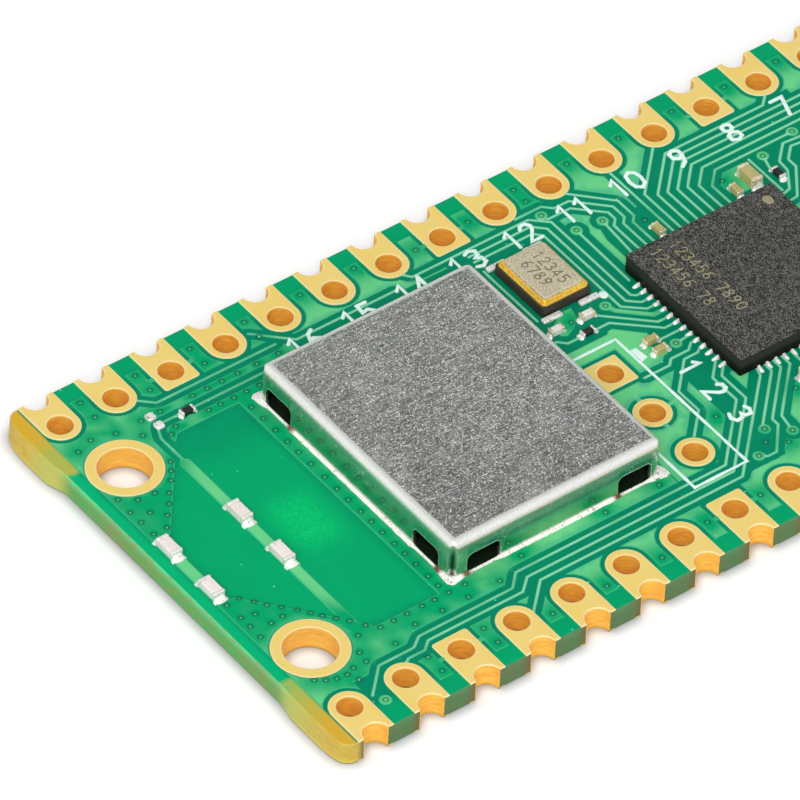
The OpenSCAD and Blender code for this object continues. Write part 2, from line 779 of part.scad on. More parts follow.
module button_terminals() color("#d0d0cc") at_button()
    for (x = [-1, 1], y = [-1, 1])
        on_board([x * button_foot_x, y * (button_l + button_foot[1]) / 2], button_foot);

module led_base() color("#eceae2") chip_body(led_chip, led_at);
module led_ends() color("#d8b75a") chip_ends(led_chip, led_at);
module led_lens() color("#dfe9cf") translate([led_at[0], led_at[1], board_t + led_base_h])
    linear_extrude(led_lens_h) square([chip_l[0] - 2 * chip_l[3], chip_l[1]], center = true);

module capacitor_bodies() color("#b9935a") {
    for (p = capacitors_s) chip_body(chip_s, p);
    for (p = capacitors_m) chip_body(chip_m, p);
    for (p = capacitors_l) chip_body(chip_l, p);
}

module capacitor_ends() color("#dcdcd8") {
    for (p = capacitors_s) chip_ends(chip_s, p);
    for (p = capacitors_m) chip_ends(chip_m, p);
    for (p = capacitors_l) chip_ends(chip_l, p);
}

module load_capacitor_bodies() color("#d9d5cc") for (p = load_capacitors) chip_body(chip_s, p);
module load_capacitor_ends() color("#dcdcd8") for (p = load_capacitors) chip_ends(chip_s, p);

module resistor_bodies() color("#242326") {
    for (p = resistors_s) chip_body(lower(chip_s), p);
    for (p = resistors_m) chip_body(lower(chip_m), p);
}

module resistor_ends() color("#dcdcd8") {
    for (p = resistors_s) chip_ends(lower(chip_s), p);
    for (p = resistors_m) chip_ends(lower(chip_m), p);
}

module antenna_part_bodies() color("#efe6e4") for (p = antenna_parts) chip_body(chip_antenna, p);
module antenna_part_ends() color("#e2e2de") for (p = antenna_parts) chip_ends(chip_antenna, p);

module feed_part_body() color("#3f5a50") chip_body(lower(chip_s), [feed_x, feed_y, 90]);
module feed_part_ends() color("#e2e2de") chip_ends(lower(chip_s), [feed_x, feed_y, 90]);

module feed_solder() color("#e2e2de") for (i = [-1, 0])
    translate([feed_x + i * feed_pad_gap, feed_pad_y, board_t]) cylinder(d = feed_pad_d, h = feed_pad_h);

wiring_board();
left_edge_pads();
right_edge_pads();
mounting_hole_plating();
debug_pads();
antenna_strips();
shield_can();
shield_solder();
radio_chip();
radio_crystal();
radio_part_bodies();
radio_part_ends();
crystal_base();
crystal_ring();
crystal_lid();
crystal_solder();
mcu_body();
mcu_leads();
flash_body();
flash_leads();
regulator_body();
regulator_leads();
inductor_body();
inductor_ends();
diode_body();
diode_leads();
transistor_body();
transistor_leads();
usb_shell();
usb_housing();
usb_contacts();
button_base();
button_cover();
button_dome();
button_plunger();
button_terminals();
led_base();
led_lens();
led_ends();
capacitor_bodies();
capacitor_ends();
load_capacitor_bodies();
load_capacitor_ends();
resistor_bodies();
resistor_ends();
antenna_part_bodies();
antenna_part_ends();
feed_part_body();
feed_part_ends();
feed_solder();
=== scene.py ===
import math
from functools import partial

import bmesh
import bpy
import numpy as np
from mathutils import Matrix, Vector
from mathutils.geometry import delaunay_2d_cdt


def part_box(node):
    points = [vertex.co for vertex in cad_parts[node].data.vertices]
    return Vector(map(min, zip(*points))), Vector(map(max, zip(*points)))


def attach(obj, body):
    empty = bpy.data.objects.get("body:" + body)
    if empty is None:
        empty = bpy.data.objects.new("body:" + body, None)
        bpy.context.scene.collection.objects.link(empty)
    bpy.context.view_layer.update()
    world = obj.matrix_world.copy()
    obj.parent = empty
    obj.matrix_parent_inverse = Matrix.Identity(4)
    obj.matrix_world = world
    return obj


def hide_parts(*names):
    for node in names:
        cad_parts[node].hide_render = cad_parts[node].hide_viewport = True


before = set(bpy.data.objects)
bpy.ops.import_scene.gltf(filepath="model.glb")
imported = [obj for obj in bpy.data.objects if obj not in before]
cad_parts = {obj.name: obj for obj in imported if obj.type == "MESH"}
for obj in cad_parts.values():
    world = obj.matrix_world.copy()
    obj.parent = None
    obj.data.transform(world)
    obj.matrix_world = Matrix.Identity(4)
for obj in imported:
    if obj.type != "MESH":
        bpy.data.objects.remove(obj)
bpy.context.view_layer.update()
mm = 0.001  # shapes are worked out in millimetres, meshes are in metres
chance = np.random.default_rng(7)
print("frame loaded with", len(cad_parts), "nodes")


# Reading the frame

def solidBoxes(node):
    # box of each separate solid: triangles that share a corner take its lowest label until no label changes
    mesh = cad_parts[node].data
    points, corners = np.empty((len(mesh.vertices), 3), np.float32), np.empty(len(mesh.loops), np.int32)
    mesh.vertices.foreach_get("co", points.ravel())
    mesh.loops.foreach_get("vertex_index", corners)
    spots, where = np.unique(np.round(points.astype(float) / mm, 3), axis=0, return_inverse=True)
    triangles = where.reshape(-1)[corners].reshape(-1, 3)
    label, before = np.arange(len(spots)), None
    while before is None or (label != before).any():
        before, label = label, label.copy()
        np.minimum.at(label, triangles.ravel(), np.repeat(before[triangles].min(1), 3))
    return np.array([[spots[label == k].min(0), spots[label == k].max(0)] for k in np.unique(label)])


def boxOf(node):
    # lowest and highest corner of a node, in millimetres
    return np.array([list(corner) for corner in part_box(node)]) / mm


# Meshes from grids and profiles

def gridFaces(rows, columns, closeRows=False, closeColumns=True, copies=1):
    # quads between neighbours of a rows x columns grid, wrapped round where closed, for each copy in turn
    i, j = np.meshgrid(np.arange(rows - 1 + closeRows), np.arange(columns - 1 + closeColumns), indexing="ij")
    i, j = i.ravel(), j.ravel()
    nextI, nextJ = (i + 1) % rows, (j + 1) % columns
    quads = np.stack([i * columns + j, i * columns + nextJ, nextI * columns + nextJ, nextI * columns + j], 1)
    return (quads + np.arange(copies)[:, None, None] * rows * columns).reshape(-1, 4)


def tubeFaces(rows, columns, copies=1):
    # a grid closed along its columns, with one face on its first row and one on its last
    ends = np.stack([np.arange(columns)[::-1], (rows - 1) * columns + np.arange(columns)])
    ends = (ends + np.arange(copies)[:, None, None] * rows * columns).reshape(-1, columns)
    return [gridFaces(rows, columns, copies=copies), ends]


def gather(parts):
    # points and face groups of several parts as one, each part's faces counted on from the last part's points
    starts = np.cumsum([0] + [len(points) for points, faces in parts])
    return (np.concatenate([points for points, faces in parts]),
            [group + start for (points, faces), start in zip(parts, starts) for group in faces])


def makePiece(name, points, faces, looks, stands=(), slotName="", crease=32, marks=()):
    # columns after x, y and z are marks; doubles are merged and faces turned outwards before it is placed
    mesh = bpy.data.meshes.new(name)
    faceList = [face for group in faces for face in np.asarray(group).tolist()]
    mesh.from_pydata((points[:, :3] * mm).tolist(), [], faceList)
    for k, mark in enumerate(marks):
        layer = mesh.attributes.new(mark, "FLOAT", "POINT")
        layer.data.foreach_set("value", points[:, 3 + k].astype(np.float32))
    work = bmesh.new()
    work.from_mesh(mesh)
    bmesh.ops.remove_doubles(work, verts=work.verts, dist=0.0006 * mm)
    bmesh.ops.dissolve_degenerate(work, edges=work.edges, dist=0.0003 * mm)
    bmesh.ops.recalc_face_normals(work, faces=work.faces)
    work.to_mesh(mesh)
    work.free()
    mesh.polygons.foreach_set("use_smooth", np.ones(len(mesh.polygons), bool))
    mesh.set_sharp_from_angle(angle=math.radians(crease))
    for look in looks:
        mesh.materials.append(look)
    piece = bpy.data.objects.new(name, mesh)
    bpy.context.scene.collection.objects.link(piece)
    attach(piece, "board")
    if stands:
        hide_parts(*stands)
    return piece


def sideLook(piece, lean, below):
    # faces that stand upright, with their middles under a height, take the piece's second look
    faces = piece.data.polygons
    normals, middles = np.empty((len(faces), 3), np.float32), np.empty((len(faces), 3), np.float32)
    faces.foreach_get("normal", normals.ravel())
    faces.foreach_get("center", middles.ravel())
    upright = (np.abs(normals[:, 2]) < lean) & (middles[:, 2] / mm < below)
    faces.foreach_set("material_index", upright.astype(np.int32))


def raised(flat, height):
    # flat rows of points given a height each, or one for each row
    height = np.broadcast_to(height, flat.shape[:-1])
    return np.concatenate([flat, height[..., None]], -1)


def smooth(value):
    # 0 to 1 with level ends: 3 v^2 - 2 v^3
    value = np.clip(value, 0, 1)
    return value * value * (3 - 2 * value)


def arc(centre, radius, start, stop, count):
    # points on a circle from one angle to another, in degrees
    turn = np.radians(np.linspace(start, stop, count))
    return np.array(centre) + radius * np.stack([np.cos(turn), np.sin(turn)], 1)


def circle(centre, radius, count):
    # a whole turn, its last point one step short of its first
    return arc(centre, radius, 0, 360 - 360 / count, count)


def sideways(path):
    # outward direction at each point of a closed anticlockwise path: the sum of its two edges' normals,
    # lengthened so that an offset keeps its distance from both edges
    ahead = np.roll(path, -1, 0) - path
    ahead /= np.maximum(np.linalg.norm(ahead, axis=1), 1e-9)[:, None]
    normal = np.stack([ahead[:, 1], -ahead[:, 0]], 1)
    both = normal + np.roll(normal, 1, 0)
    return both / np.maximum((both * normal).sum(1), 0.4)[:, None]


def openSides(bar):
    # the same along an open path, with the directions of its first and last run
    ahead = np.diff(bar, axis=0)
    ahead /= np.linalg.norm(ahead, axis=1)[:, None]
    normal = np.stack([ahead[:, 1], -ahead[:, 0]], 1)
    after = np.vstack([normal, normal[-1:]])
    both = np.vstack([normal[:1], normal]) + after
    return both / np.maximum((both * after).sum(1), 0.5)[:, None], ahead[0], ahead[-1]


def evenly(outline, step):
    # closed outline with points added along its straight runs, none further apart than the step; further
    # columns are carried along
    ahead = np.roll(outline, -1, 0) - outline
    pieces = np.maximum(1, np.ceil(np.linalg.norm(ahead[:, :2], axis=1) / step).astype(int))
    share = np.concatenate([np.arange(n) / n for n in pieces])
    return np.repeat(outline, pieces, 0) + share[:, None] * np.repeat(ahead, pieces, 0)


def roundedCorners(steps):
    # unit directions and signs round a rectangle's four corners, anticlockwise from its south-east one
    turn = np.radians(np.concatenate([np.linspace(-90, 0, steps) + 90 * k for k in range(4)]))
    signs = np.repeat([(1, -1), (1, 1), (-1, 1), (-1, -1)], steps, 0)
    return np.stack([np.cos(turn), np.sin(turn)], 1), signs


def boxSlabs(boxes, edge, grow=0.0, steps=4, corner=None):
    # each box is a rounded rectangle carried up rows of (inset, height): a small chamfer at the foot, an
    # upright side and a quarter-round top edge; a row is the outline moved in by its inset
    corner, foot = corner or edge, edge / 3
    unit, sign = roundedCorners(steps)
    turn = np.radians(np.linspace(0, 90, 5))
    inset = np.concatenate([[foot, 0], edge * (1 - np.cos(turn))])[:, None, None]
    bend = np.maximum(corner - inset, 0.25 * corner)
    parts = []
    for low, high in boxes:
        flat = sign * ((high - low)[:2] / 2 + grow - inset - bend) + bend * unit + (low + high)[:2] / 2
        height = np.concatenate([[low[2], low[2] + foot], high[2] + grow - edge + edge * np.sin(turn)])
        parts.append((raised(flat, height[:, None]).reshape(-1, 3), tubeFaces(len(inset), len(unit))))
    return gather(parts)


def lumps(spots, across=7, hollow=2.0, ripple=0.12, rows=6):
    # solder fillets: each is (x, y, heading in degrees, width, reach, height, foot height); the top falls
    # from the height to nothing along the reach as (1 - v)^hollow and rounds off across as 1 - u^4, over a
    # flat underside
    spots = np.asarray(spots, float)
    v = np.linspace(0, 1, rows)[None, :, None]
    u = np.concatenate([np.linspace(-1, 1, across), np.linspace(1, -1, across)[1:-1]])[None, None, :]
    under = np.arange(u.size)[None, None, :] >= across
    x, y, heading, width, reach, height, foot = spots.T[:, :, None, None]
    fall = (1 - v) ** hollow * (1 - np.abs(u) ** 4) + 0.12 * (1 - u ** 2) * np.sin(np.pi * np.sqrt(v))
    rise = np.where(under, 0, height * fall)
    rise = rise * (1 + ripple * chance.standard_normal((len(spots), rows, u.size)))
    along = reach * v * (1 - 0.25 * u ** 2)
    side = width / 2 * u * (1 + 0.12 * np.sin(np.pi * v))
    c, s = np.cos(np.radians(heading)), np.sin(np.radians(heading))
    points = np.stack([x + along * c - side * s, y + along * s + side * c, foot + rise], -1)
    return points.reshape(-1, 3), tubeFaces(rows, u.size, len(spots))


# Materials

def linear(hexText):
    # sRGB hex to linear light: c / 12.92 for dark values, ((c + 0.055) / 1.055) ^ 2.4 above
    channel = np.array([int(hexText[k:k + 2], 16) for k in (1, 3, 5)]) / 255
    light = np.where(channel <= 0.04045, channel / 12.92, ((channel + 0.055) / 1.055) ** 2.4)
    return (*light.tolist(), 1.0)


def addNode(tree, kind, settings={}, out=0):
    # one node: another node's output is linked to the socket named, anything else is set on a property or a
    # socket, a hex colour as linear light; gives back the output asked for, if it has any
    node = tree.nodes.new("ShaderNode" + kind)
    for key, value in settings.items():
        if isinstance(value, bpy.types.NodeSocket):
            tree.links.new(value, node.inputs[key])
        elif isinstance(key, str) and hasattr(node, key):
            setattr(node, key, value)
        else:
            node.inputs[key].default_value = linear(value) if isinstance(value, str) else value
    return node.outputs[out] if node.outputs else node


def newLook(name, settings={}):
    # a material with its shader's fixed values set, and the object's own coordinates
    look = bpy.data.materials.new(name)
    look.use_nodes = True
    shader = look.node_tree.nodes["Principled BSDF"]
    for key, value in settings.items():
        shader.inputs[key].default_value = linear(value) if isinstance(value, str) else value
    add = partial(addNode, look.node_tree)
    return look, shader, add, add("TexCoord", out="Object")


def dress(shader, links):
    # joins outputs to the shader's sockets by name
    for key, source in links.items():
        shader.id_data.links.new(source, shader.inputs[key])


def finish(name, colour, second, grain, roughness=(0.3, 0.5), stretch=(1, 1, 1), depth=0.0, cloud=2.0,
           settings={}, bite=(0.35, 0.65), third=None):
    # common finish: two colours mixed by a fine grain over a slow cloud, roughness and bump from the same
    # grain; grain and cloud are sizes in millimetres, stretch lengthens the grain along an axis, depth is in
    # millimetres; a third colour comes in where the mesh carries the mark it names
    look, shader, add, place = newLook(name, settings)
    pulled = add("Mapping", {"Scale": tuple(1 / s for s in stretch), "Vector": place})
    fine = add("TexNoise", {"Scale": 1 / (grain * mm), "Detail": 3.0, "Roughness": 0.6, "Vector": pulled})
    slow = add("TexNoise", {"Scale": 1 / (cloud * mm), "Detail": 2.0, "Vector": place})
    both = add("Math", {"operation": "MULTIPLY_ADD", 0: slow, 1: 0.35, 2: fine})
    share = add("MapRange", {"From Min": bite[0] + 0.17, "From Max": bite[1] + 0.17, "Value": both})
    mixed = add("Mix", {"data_type": "RGBA", 0: share, 6: colour, 7: second}, 2)
    rough = add("MapRange", {"From Min": 0.3, "From Max": 0.7, "To Min": roughness[0], "To Max": roughness[1],
                             "Value": fine})
    if third:
        share = add("Attribute", {"attribute_name": third[0]}, "Fac")
        mixed = add("Mix", {"data_type": "RGBA", 0: share, 6: mixed, 7: third[1]}, 2)
    dress(shader, {"Base Color": mixed, "Roughness": rough})
    if depth:
        dress(shader, {"Normal": add("Bump", {"Distance": depth * mm, "Strength": 1.0, "Height": fine})})
    return look


# Immersion gold over nickel on copper: satin, paler where a rim catches the light, deep orange down the
# bores, which show the drill's rings and are painted darker at their foot as shade
goldTones = {"face": "#FFDC70", "faceLight": "#FFE794", "rim": "#FFEDB4", "bore": "#FFD258",
             "boreDark": "#F0A040", "foot": "#6B4112", "gleam": "#FFD98A", "drillLine": 0.07, "grain": 0.06,
             "cloud": 1.6, "footHigh": 0.12}


def goldLook():
    tone = goldTones
    look, shader, add, place = newLook("immersion_gold_over_nickel", {"Metallic": 0.3, "Roughness": 0.45,
                                                                      "Specular Tint": tone["gleam"]})
    rings = add("Mapping", {"Scale": (0.15, 0.15, 1), "Vector": place})
    grit, slow, lines = (
        add("TexNoise", {"Scale": 1 / (tone[size] * mm), "Detail": detail, "Vector": where})
        for size, detail, where in (("grain", 4.0, place), ("cloud", 1.0, place), ("drillLine", 3.0, rings)))
    streak = add("MapRange", {"From Min": 0.25, "From Max": 0.7, "Value": lines})
    rim, bore = (add("Attribute", {"attribute_name": name}, "Fac") for name in ("rim", "bore"))
    down = add("Mix", {"data_type": "RGBA", 0: streak, 6: tone["boreDark"], 7: tone["bore"]}, 2)
    height = add("SeparateXYZ", {0: place}, 2)
    # painted shade: the bores darken towards their foot
    low = add("MapRange", {"From Min": tone["footHigh"] * mm, "From Max": 0.0, "To Max": 0.7,
                           "Value": height})
    deep = add("Math", {"operation": "MULTIPLY", 0: low, 1: bore})
    colour = tone["face"]
    for share, over in ((slow, tone["faceLight"]), (rim, tone["rim"]), (bore, down), (deep, tone["foot"])):
        colour = add("Mix", {"data_type": "RGBA", 0: share, 6: colour, 7: over}, 2)
    inBore = add("Math", {"operation": "MULTIPLY", 0: lines, 1: bore})
    relief = add("Math", {"operation": "MULTIPLY_ADD", 0: grit, 1: 0.25, 2: inBore})
    bump = add("Bump", {"Distance": 0.006 * mm, "Strength": 0.8, "Height": relief})
    dress(shader, {"Base Color": colour, "Normal": bump})
    return look


# Solder mask screened over etched copper: deep teal on bare laminate, paler over copper, palest along its
# rims, where the mask runs thin and a painted highlight lies on the shoulder, with a painted highlight line
# down each track; each via holds a painted ring of shade round a painted highlight dot, the mask under the
# can is painted dark as shade, the antenna window holds a painted glow, and near the long edges the mask is
# painted lighter as light let in through the edge; with a slight orange peel and a few dust specks; sizes in
# millimetres
maskTones = {"bare": "#008461", "window": "#00A469", "glow": "#06CE70", "rim": "#52BD88", "line": "#86D4AC",
             "pour": "#6BD08A", "near": "#00A268", "pit": "#0A5A3E", "spark": "#A5E6C6",
             "laminate": "#D4AA36", "laminateEdge": "#96B85C", "strip": "#02B074", "speck": "#6CD4A4",
             "shadeUnderCan": "#04100A", "shadeUnderCanLight": "#1C2A1C", "peel": 0.25, "glowGrain": 0.16, "dust": 0.4,
             "cloud": 2.2, "glass": 0.5}


def maskLook():
    tone = maskTones
    look, shader, add, place = newLook("solder_mask_over_etched_copper",
                                       {"Roughness": 0.3, "Specular IOR Level": 0.06})
    mark = {name: add("Attribute", {"attribute_name": name}, "Fac") for name in
            ("inset", "halo", "window", "glow", "pit", "spark", "line", "corner", "shade", "green", "strip")}
    slow, grains, glass, peel = (
        add("TexNoise", {"Scale": 1 / (tone[size] * mm), "Detail": detail, "Roughness": rough,
                         "Vector": place})
        for size, detail, rough in (("cloud", 2.0, 0.5), ("glowGrain", 3.0, 0.7), ("glass", 3.0, 0.5),
                                    ("peel", 2.0, 0.5)))
    shift = add("MapRange", {"From Min": 0.3, "From Max": 0.7, "To Min": -0.12, "To Max": 0.12,
                             "Value": slow})
    broken = add("MapRange", {"From Min": 0.2, "From Max": 0.7, "Value": grains})
    windowShare, nearShare = (add("Math", {"operation": "ADD", "use_clamp": True, 0: mark[name], 1: shift})
                              for name in ("window", "halo"))
    glowShare = add("Math", {"operation": "MULTIPLY", 0: mark["glow"], 1: broken})
    fading = add("Math", {"operation": "MULTIPLY", 0: mark["halo"], 1: 0.6})
    step, flat = (add("MapRange", {"From Min": start, "From Max": stop, "interpolation_type": "SMOOTHSTEP",
                                   "Value": mark["inset"]}) for start, stop in ((0.0, 0.4), (0.45, 1.0)))
    # green of the mask and glass of the laminate meet in a ragged line at the bare corners
    started = add("Math", {"operation": "SUBTRACT", 0: mark["green"], 1: 0.3})
    mottled = add("Math", {"operation": "MULTIPLY_ADD", "use_clamp": True, 0: glass, 1: 0.6, 2: started})
    # dust: some cells of a scatter hold a speck, of a size that each cell draws
    cell = add("TexVoronoi", {"Scale": 1 / (tone["dust"] * mm), "Randomness": 1.0, "Vector": place}, "Color")
    drawn = add("SeparateColor", {0: cell})
    size = add("MapRange", {"From Min": 0.75, "From Max": 1.0, "To Max": 0.11, "Value": drawn})
    speck = add("Math", {"operation": "LESS_THAN", 0: cell.node.outputs["Distance"], 1: size})
    # each colour takes coats, laid one over the other by their shares, and can be a coat of a later one
    made = dict(tone)
    # painted light among the coats: the rim and line highlights, the pit's shade, the via highlight, the glow
    # and the shade under the can
    for name, coats in (
            ("pour", [(nearShare, "near")]),
            ("rim", [(mark["line"], "line"), (fading, "near"), (flat, "pour")]),
            ("laminate", [(mottled, "laminateEdge")]), ("shadeUnderCan", [(broken, "shadeUnderCanLight")]),
            ("bare", [(windowShare, "window"), (glowShare, "glow"), (mark["strip"], "strip"), (step, "rim"),
                      (mark["pit"], "pit"), (mark["spark"], "spark"), (mark["corner"], "laminate"),
                      (speck, "speck"), (mark["shade"], "shadeUnderCan")])):
        for share, over in coats:
            made[name] = add("Mix", {"data_type": "RGBA", 0: share, 6: made[name], 7: made[over]}, 2)
    bump = add("Bump", {"Distance": 0.004 * mm, "Strength": 0.6, "Height": peel})
    dress(shader, {"Base Color": made["bare"], "Normal": bump})
    return look


# Routed glass and epoxy laminate: green-brown plies lie one on another, yellow where no mask stains it
edgeTones = {"high": "#5ED68C", "middle": "#52A954", "low": "#50AB56", "ply": "#A8794A", "tab": "#D3B850",
             "tabLow": "#BB9B38", "tabGreen": "#B2C266", "tabFoot": "#D4BC50", "scorch": "#6E5E36",
             "eastTint": "#4E6A44", "stain": "#8F8A52", "plyHeight": 0.11, "cloud": 3.0}


def laminateLook():
    tone = edgeTones
    look, shader, add, place = newLook("glass_epoxy_laminate_routed",
                                       {"Roughness": 0.5, "Specular IOR Level": 0.3})
    layered = add("Mapping", {"Scale": (0.25, 0.25, 1), "Vector": place})
    plies = add("TexNoise", {"Scale": 1 / (tone["plyHeight"] * mm), "Detail": 3.0, "Vector": layered})
    slow = add("TexNoise", {"Scale": 1 / (tone["cloud"] * mm), "Detail": 2.0, "Vector": place})
    height = add("MapRange", {"From Min": 0.0, "From Max": 1.0 * mm,
                              "Value": add("SeparateXYZ", {0: place}, 2)})
    lower, upper, patch, line, tabLine, atFoot = (
        add("MapRange", {"From Min": start, "From Max": stop, "To Max": most, "Value": source})
        for source, start, stop, most in ((height, 0.0, 0.55, 1.0), (height, 0.6, 0.95, 1.0),
                                          (slow, 0.5, 0.75, 0.6), (plies, 0.5, 0.66, 0.7),
                                          (plies, 0.2, 0.7, 1.0), (height, 0.24, 0.1, 1.0)))
    long, scorch, green, corner = (add("Attribute", {"attribute_name": name}, "Fac")
                                   for name in ("long", "scorch", "green", "corner"))
    tab, wall = tone["tabLow"], tone["low"]
    for share, over in ((tabLine, "tab"), (atFoot, "tabFoot"), (green, "tabGreen")):
        tab = add("Mix", {"data_type": "RGBA", 0: share, 6: tab, 7: tone[over]}, 2)
    for share, over in ((lower, tone["middle"]), (upper, tone["high"]), (patch, tone["stain"]),
                        (line, tone["ply"]), (long, tone["eastTint"]), (scorch, tone["scorch"]),
                        (corner, tab)):
        wall = add("Mix", {"data_type": "RGBA", 0: share, 6: wall, 7: over}, 2)
    bump = add("Bump", {"Distance": 0.02 * mm, "Strength": 0.5, "Height": plies})
    dress(shader, {"Base Color": wall, "Normal": bump})
    return look


# Tinned steel sheet, rolled and pressed: rolling lines, bright flecks painted as glints and a few stray
# scratches on the flat top, which has a painted reflection that darkens it towards the east; smoother on
# folds and walls;
# the fold, the cut edges, the corner ribs and a band under the fold carry a painted highlight, and the inner
# face and the corner seam are painted dark as shade; grains under a pixel wide are drawn as coarse as they
# need to show
canTones = {"dark": "#A3A8A1", "darkEast": "#878C86", "light": "#FFFFFD", "pit": "#666A66", "wall": "#C8CCBE",
            "fold": "#FAFBF6", "foldDark": "#D3D8D0", "inside": "#15301F", "scratchTone": "#BFE8CF",
            "glint": 0.046, "fleck": 0.048, "roll": 0.05, "rollLength": 18.0, "scratch": 0.8, "stray": 1.7,
            "cloud": 3.5, "darkFrom": -6, "darkTo": 2}


def canLook():
    tone = canTones
    look, shader, add, place = newLook("tinned_steel_sheet_rolled")
    flat, fold, inside = (add("Attribute", {"attribute_name": name}, "Fac")
                          for name in ("flat", "fold", "inside"))
    pulled = add("Mapping", {"Scale": (1, 1 / tone["rollLength"], 1), "Vector": place})
    roll, fleck, patch, curls, thread = (
        add("TexNoise", {"Scale": 1 / (tone[size] * mm), "Detail": detail, "Roughness": rough,
                         "Distortion": bent, "Vector": pulled if size == "roll" else place})
        for size, detail, rough, bent in (("roll", 2.0, 0.5, 0.0), ("fleck", 4.0, 0.8, 0.0),
                                          ("cloud", 2.0, 0.5, 0.0), ("scratch", 1.0, 0.5, 1.5),
                                          ("stray", 0.0, 0.5, 0.0)))
    cell = add("SeparateColor", {0: add("TexVoronoi", {"Scale": 1 / (tone["glint"] * mm), "Randomness": 1.0,
                                                       "Vector": place}, "Color")})
    worn = add("Math", {"operation": "MULTIPLY_ADD", 0: roll, 1: 0.42, 2: fleck})
    uneven = add("Math", {"operation": "MULTIPLY_ADD", 0: patch, 1: 0.1, 2: worn})
    across = add("SeparateXYZ", {0: place})
    # side is a painted reflection that darkens the top towards the east; glint picks cells painted as glints
    sparse, glint, pit, few, side, brushed = (
        add("MapRange", {"From Min": start, "From Max": stop, "To Max": most, "Value": source})
        for source, start, stop, most in (
            (uneven, 0.745, 0.97, 1.0), (cell, 0.78, 1.0, 1.0), (cell.node.outputs[1], 0.6, 1.0, 1.0),
            (patch, 0.6, 0.63, 0.7), (across, tone["darkFrom"] * mm, tone["darkTo"] * mm, 1.0),
            (fleck, 0.3, 0.55, 1.0)))
    # scratches follow the lines along which a noise has one value
    curl, near = (add("Math", {"operation": "COMPARE", 0: noise, 1: 0.5, 2: width})
                  for noise, width in ((thread, 0.0045), (curls, 0.008)))
    stray = add("Math", {"operation": "MULTIPLY", 0: curl, 1: few})
    lit = add("Math", {"operation": "MAXIMUM", 0: sparse, 1: glint})
    bright = add("Math", {"operation": "MAXIMUM", 0: lit, 1: stray})
    grainy = add("Math", {"operation": "MAXIMUM", 0: flat, 1: fold})
    onWall = add("MapRange", {"To Min": 0.4, "To Max": 0.0, "Value": grainy})
    faint = add("Math", {"operation": "MULTIPLY", 0: near, 1: onWall})
    ragged = add("MapRange", {"From Min": 0.3, "From Max": 0.6, "To Min": 0.5, "To Max": 1.3, "Value": fleck})
    foldShare = add("Math", {"operation": "MULTIPLY", "use_clamp": True, 0: fold, 1: ragged})
    top, shiny, sheet = tone["dark"], tone["foldDark"], tone["wall"]
    for share, over in ((side, "darkEast"), (pit, "pit"), (bright, "light")):
        top = add("Mix", {"data_type": "RGBA", 0: share, 6: top, 7: tone[over]}, 2)
    shiny = add("Mix", {"data_type": "RGBA", 0: brushed, 6: shiny, 7: tone["fold"]}, 2)
    for share, over in ((faint, tone["scratchTone"]), (flat, top), (foldShare, shiny),
                        (inside, tone["inside"])):
        sheet = add("Mix", {"data_type": "RGBA", 0: share, 6: sheet, 7: over}, 2)
    # flecks and the fold, painted as highlights, scatter light, the rest mirrors what is around it
    dull = add("Math", {"operation": "MULTIPLY", 0: bright, 1: flat})
    matte = add("Math", {"operation": "MAXIMUM", 0: dull, 1: faint})
    dulled = add("Math", {"operation": "MULTIPLY_ADD", "use_clamp": True, 0: fold, 1: 0.6, 2: matte})
    relief = add("Math", {"operation": "MULTIPLY", 0: worn, 1: grainy})
    dress(shader, {"Base Color": sheet,
                   "Metallic": add("MapRange", {"To Min": 1.0, "To Max": 0.35, "Value": dulled}),
                   "Roughness": add("MapRange", {"To Min": 0.14, "To Max": 0.42, "Value": flat}),
                   "Normal": add("Bump", {"Distance": 0.01 * mm, "Strength": 1.0, "Height": relief})})
    return look


# The processor's epoxy where the saw cut it: grey with pale flecks above, brown-black towards the leads
sawnTones = {"high": "#2A2927", "low": "#0D0907", "fleck": "#4A4844", "grain": 0.05, "from": 1.3, "to": 1.55}


def sawnLook():
    tone = sawnTones
    look, shader, add, place = newLook("silica_filled_epoxy_sawn",
                                       {"Roughness": 0.55, "Specular IOR Level": 0.15})
    height = add("MapRange", {"From Min": tone["from"] * mm, "From Max": tone["to"] * mm,
                              "Value": add("SeparateXYZ", {0: place}, 2)})
    grain = add("TexNoise", {"Scale": 1 / (tone["grain"] * mm), "Detail": 3.0, "Vector": place})
    fleck = add("MapRange", {"From Min": 0.5, "From Max": 0.75, "Value": grain})
    colour = tone["low"]
    spot = add("Math", {"operation": "MULTIPLY", 0: fleck, 1: height})
    for share, over in ((height, "high"), (spot, "fleck")):
        colour = add("Mix", {"data_type": "RGBA", 0: share, 6: colour, 7: tone[over]}, 2)
    dress(shader, {"Base Color": colour})
    return look


gold, mask, laminate, canSheet, sawnMould = goldLook(), maskLook(), laminateLook(), canLook(), sawnLook()
# Reflowed tin solder: bright and lumpy, with grey pits and a trace of brown flux
solder = finish("tin_solder_reflowed", "#F7F7F3", "#8E857A", 0.1, (0.15, 0.4), depth=0.02, cloud=0.6,
                settings={"Metallic": 0.3}, bite=(0.56, 0.72))
# The can's solder foot, printed and reflowed: chalky white, peppered with brown flux
footSolder = finish("tin_solder_fluxed", "#FAF8F2", "#6A5638", 0.075, (0.25, 0.5), depth=0.02, cloud=0.5,
                    settings={"Metallic": 0.15}, bite=(0.57, 0.7), third=("flux", "#6A4518"))
# Silica-filled epoxy, transfer moulded: charcoal with a fine pale grain
processorMould = finish("silica_filled_epoxy_moulded", "#0E0E0F", "#8E8D86", 0.05, (0.5, 0.75), depth=0.01,
                        cloud=0.12, settings={"Specular IOR Level": 0.15}, bite=(0.45, 0.7))
# Plain epoxy mouldings: matte black with a soft grain
blackMould = finish("epoxy_mould_black", "#1D1D1E", "#343436", 0.05, (0.45, 0.7), depth=0.008)
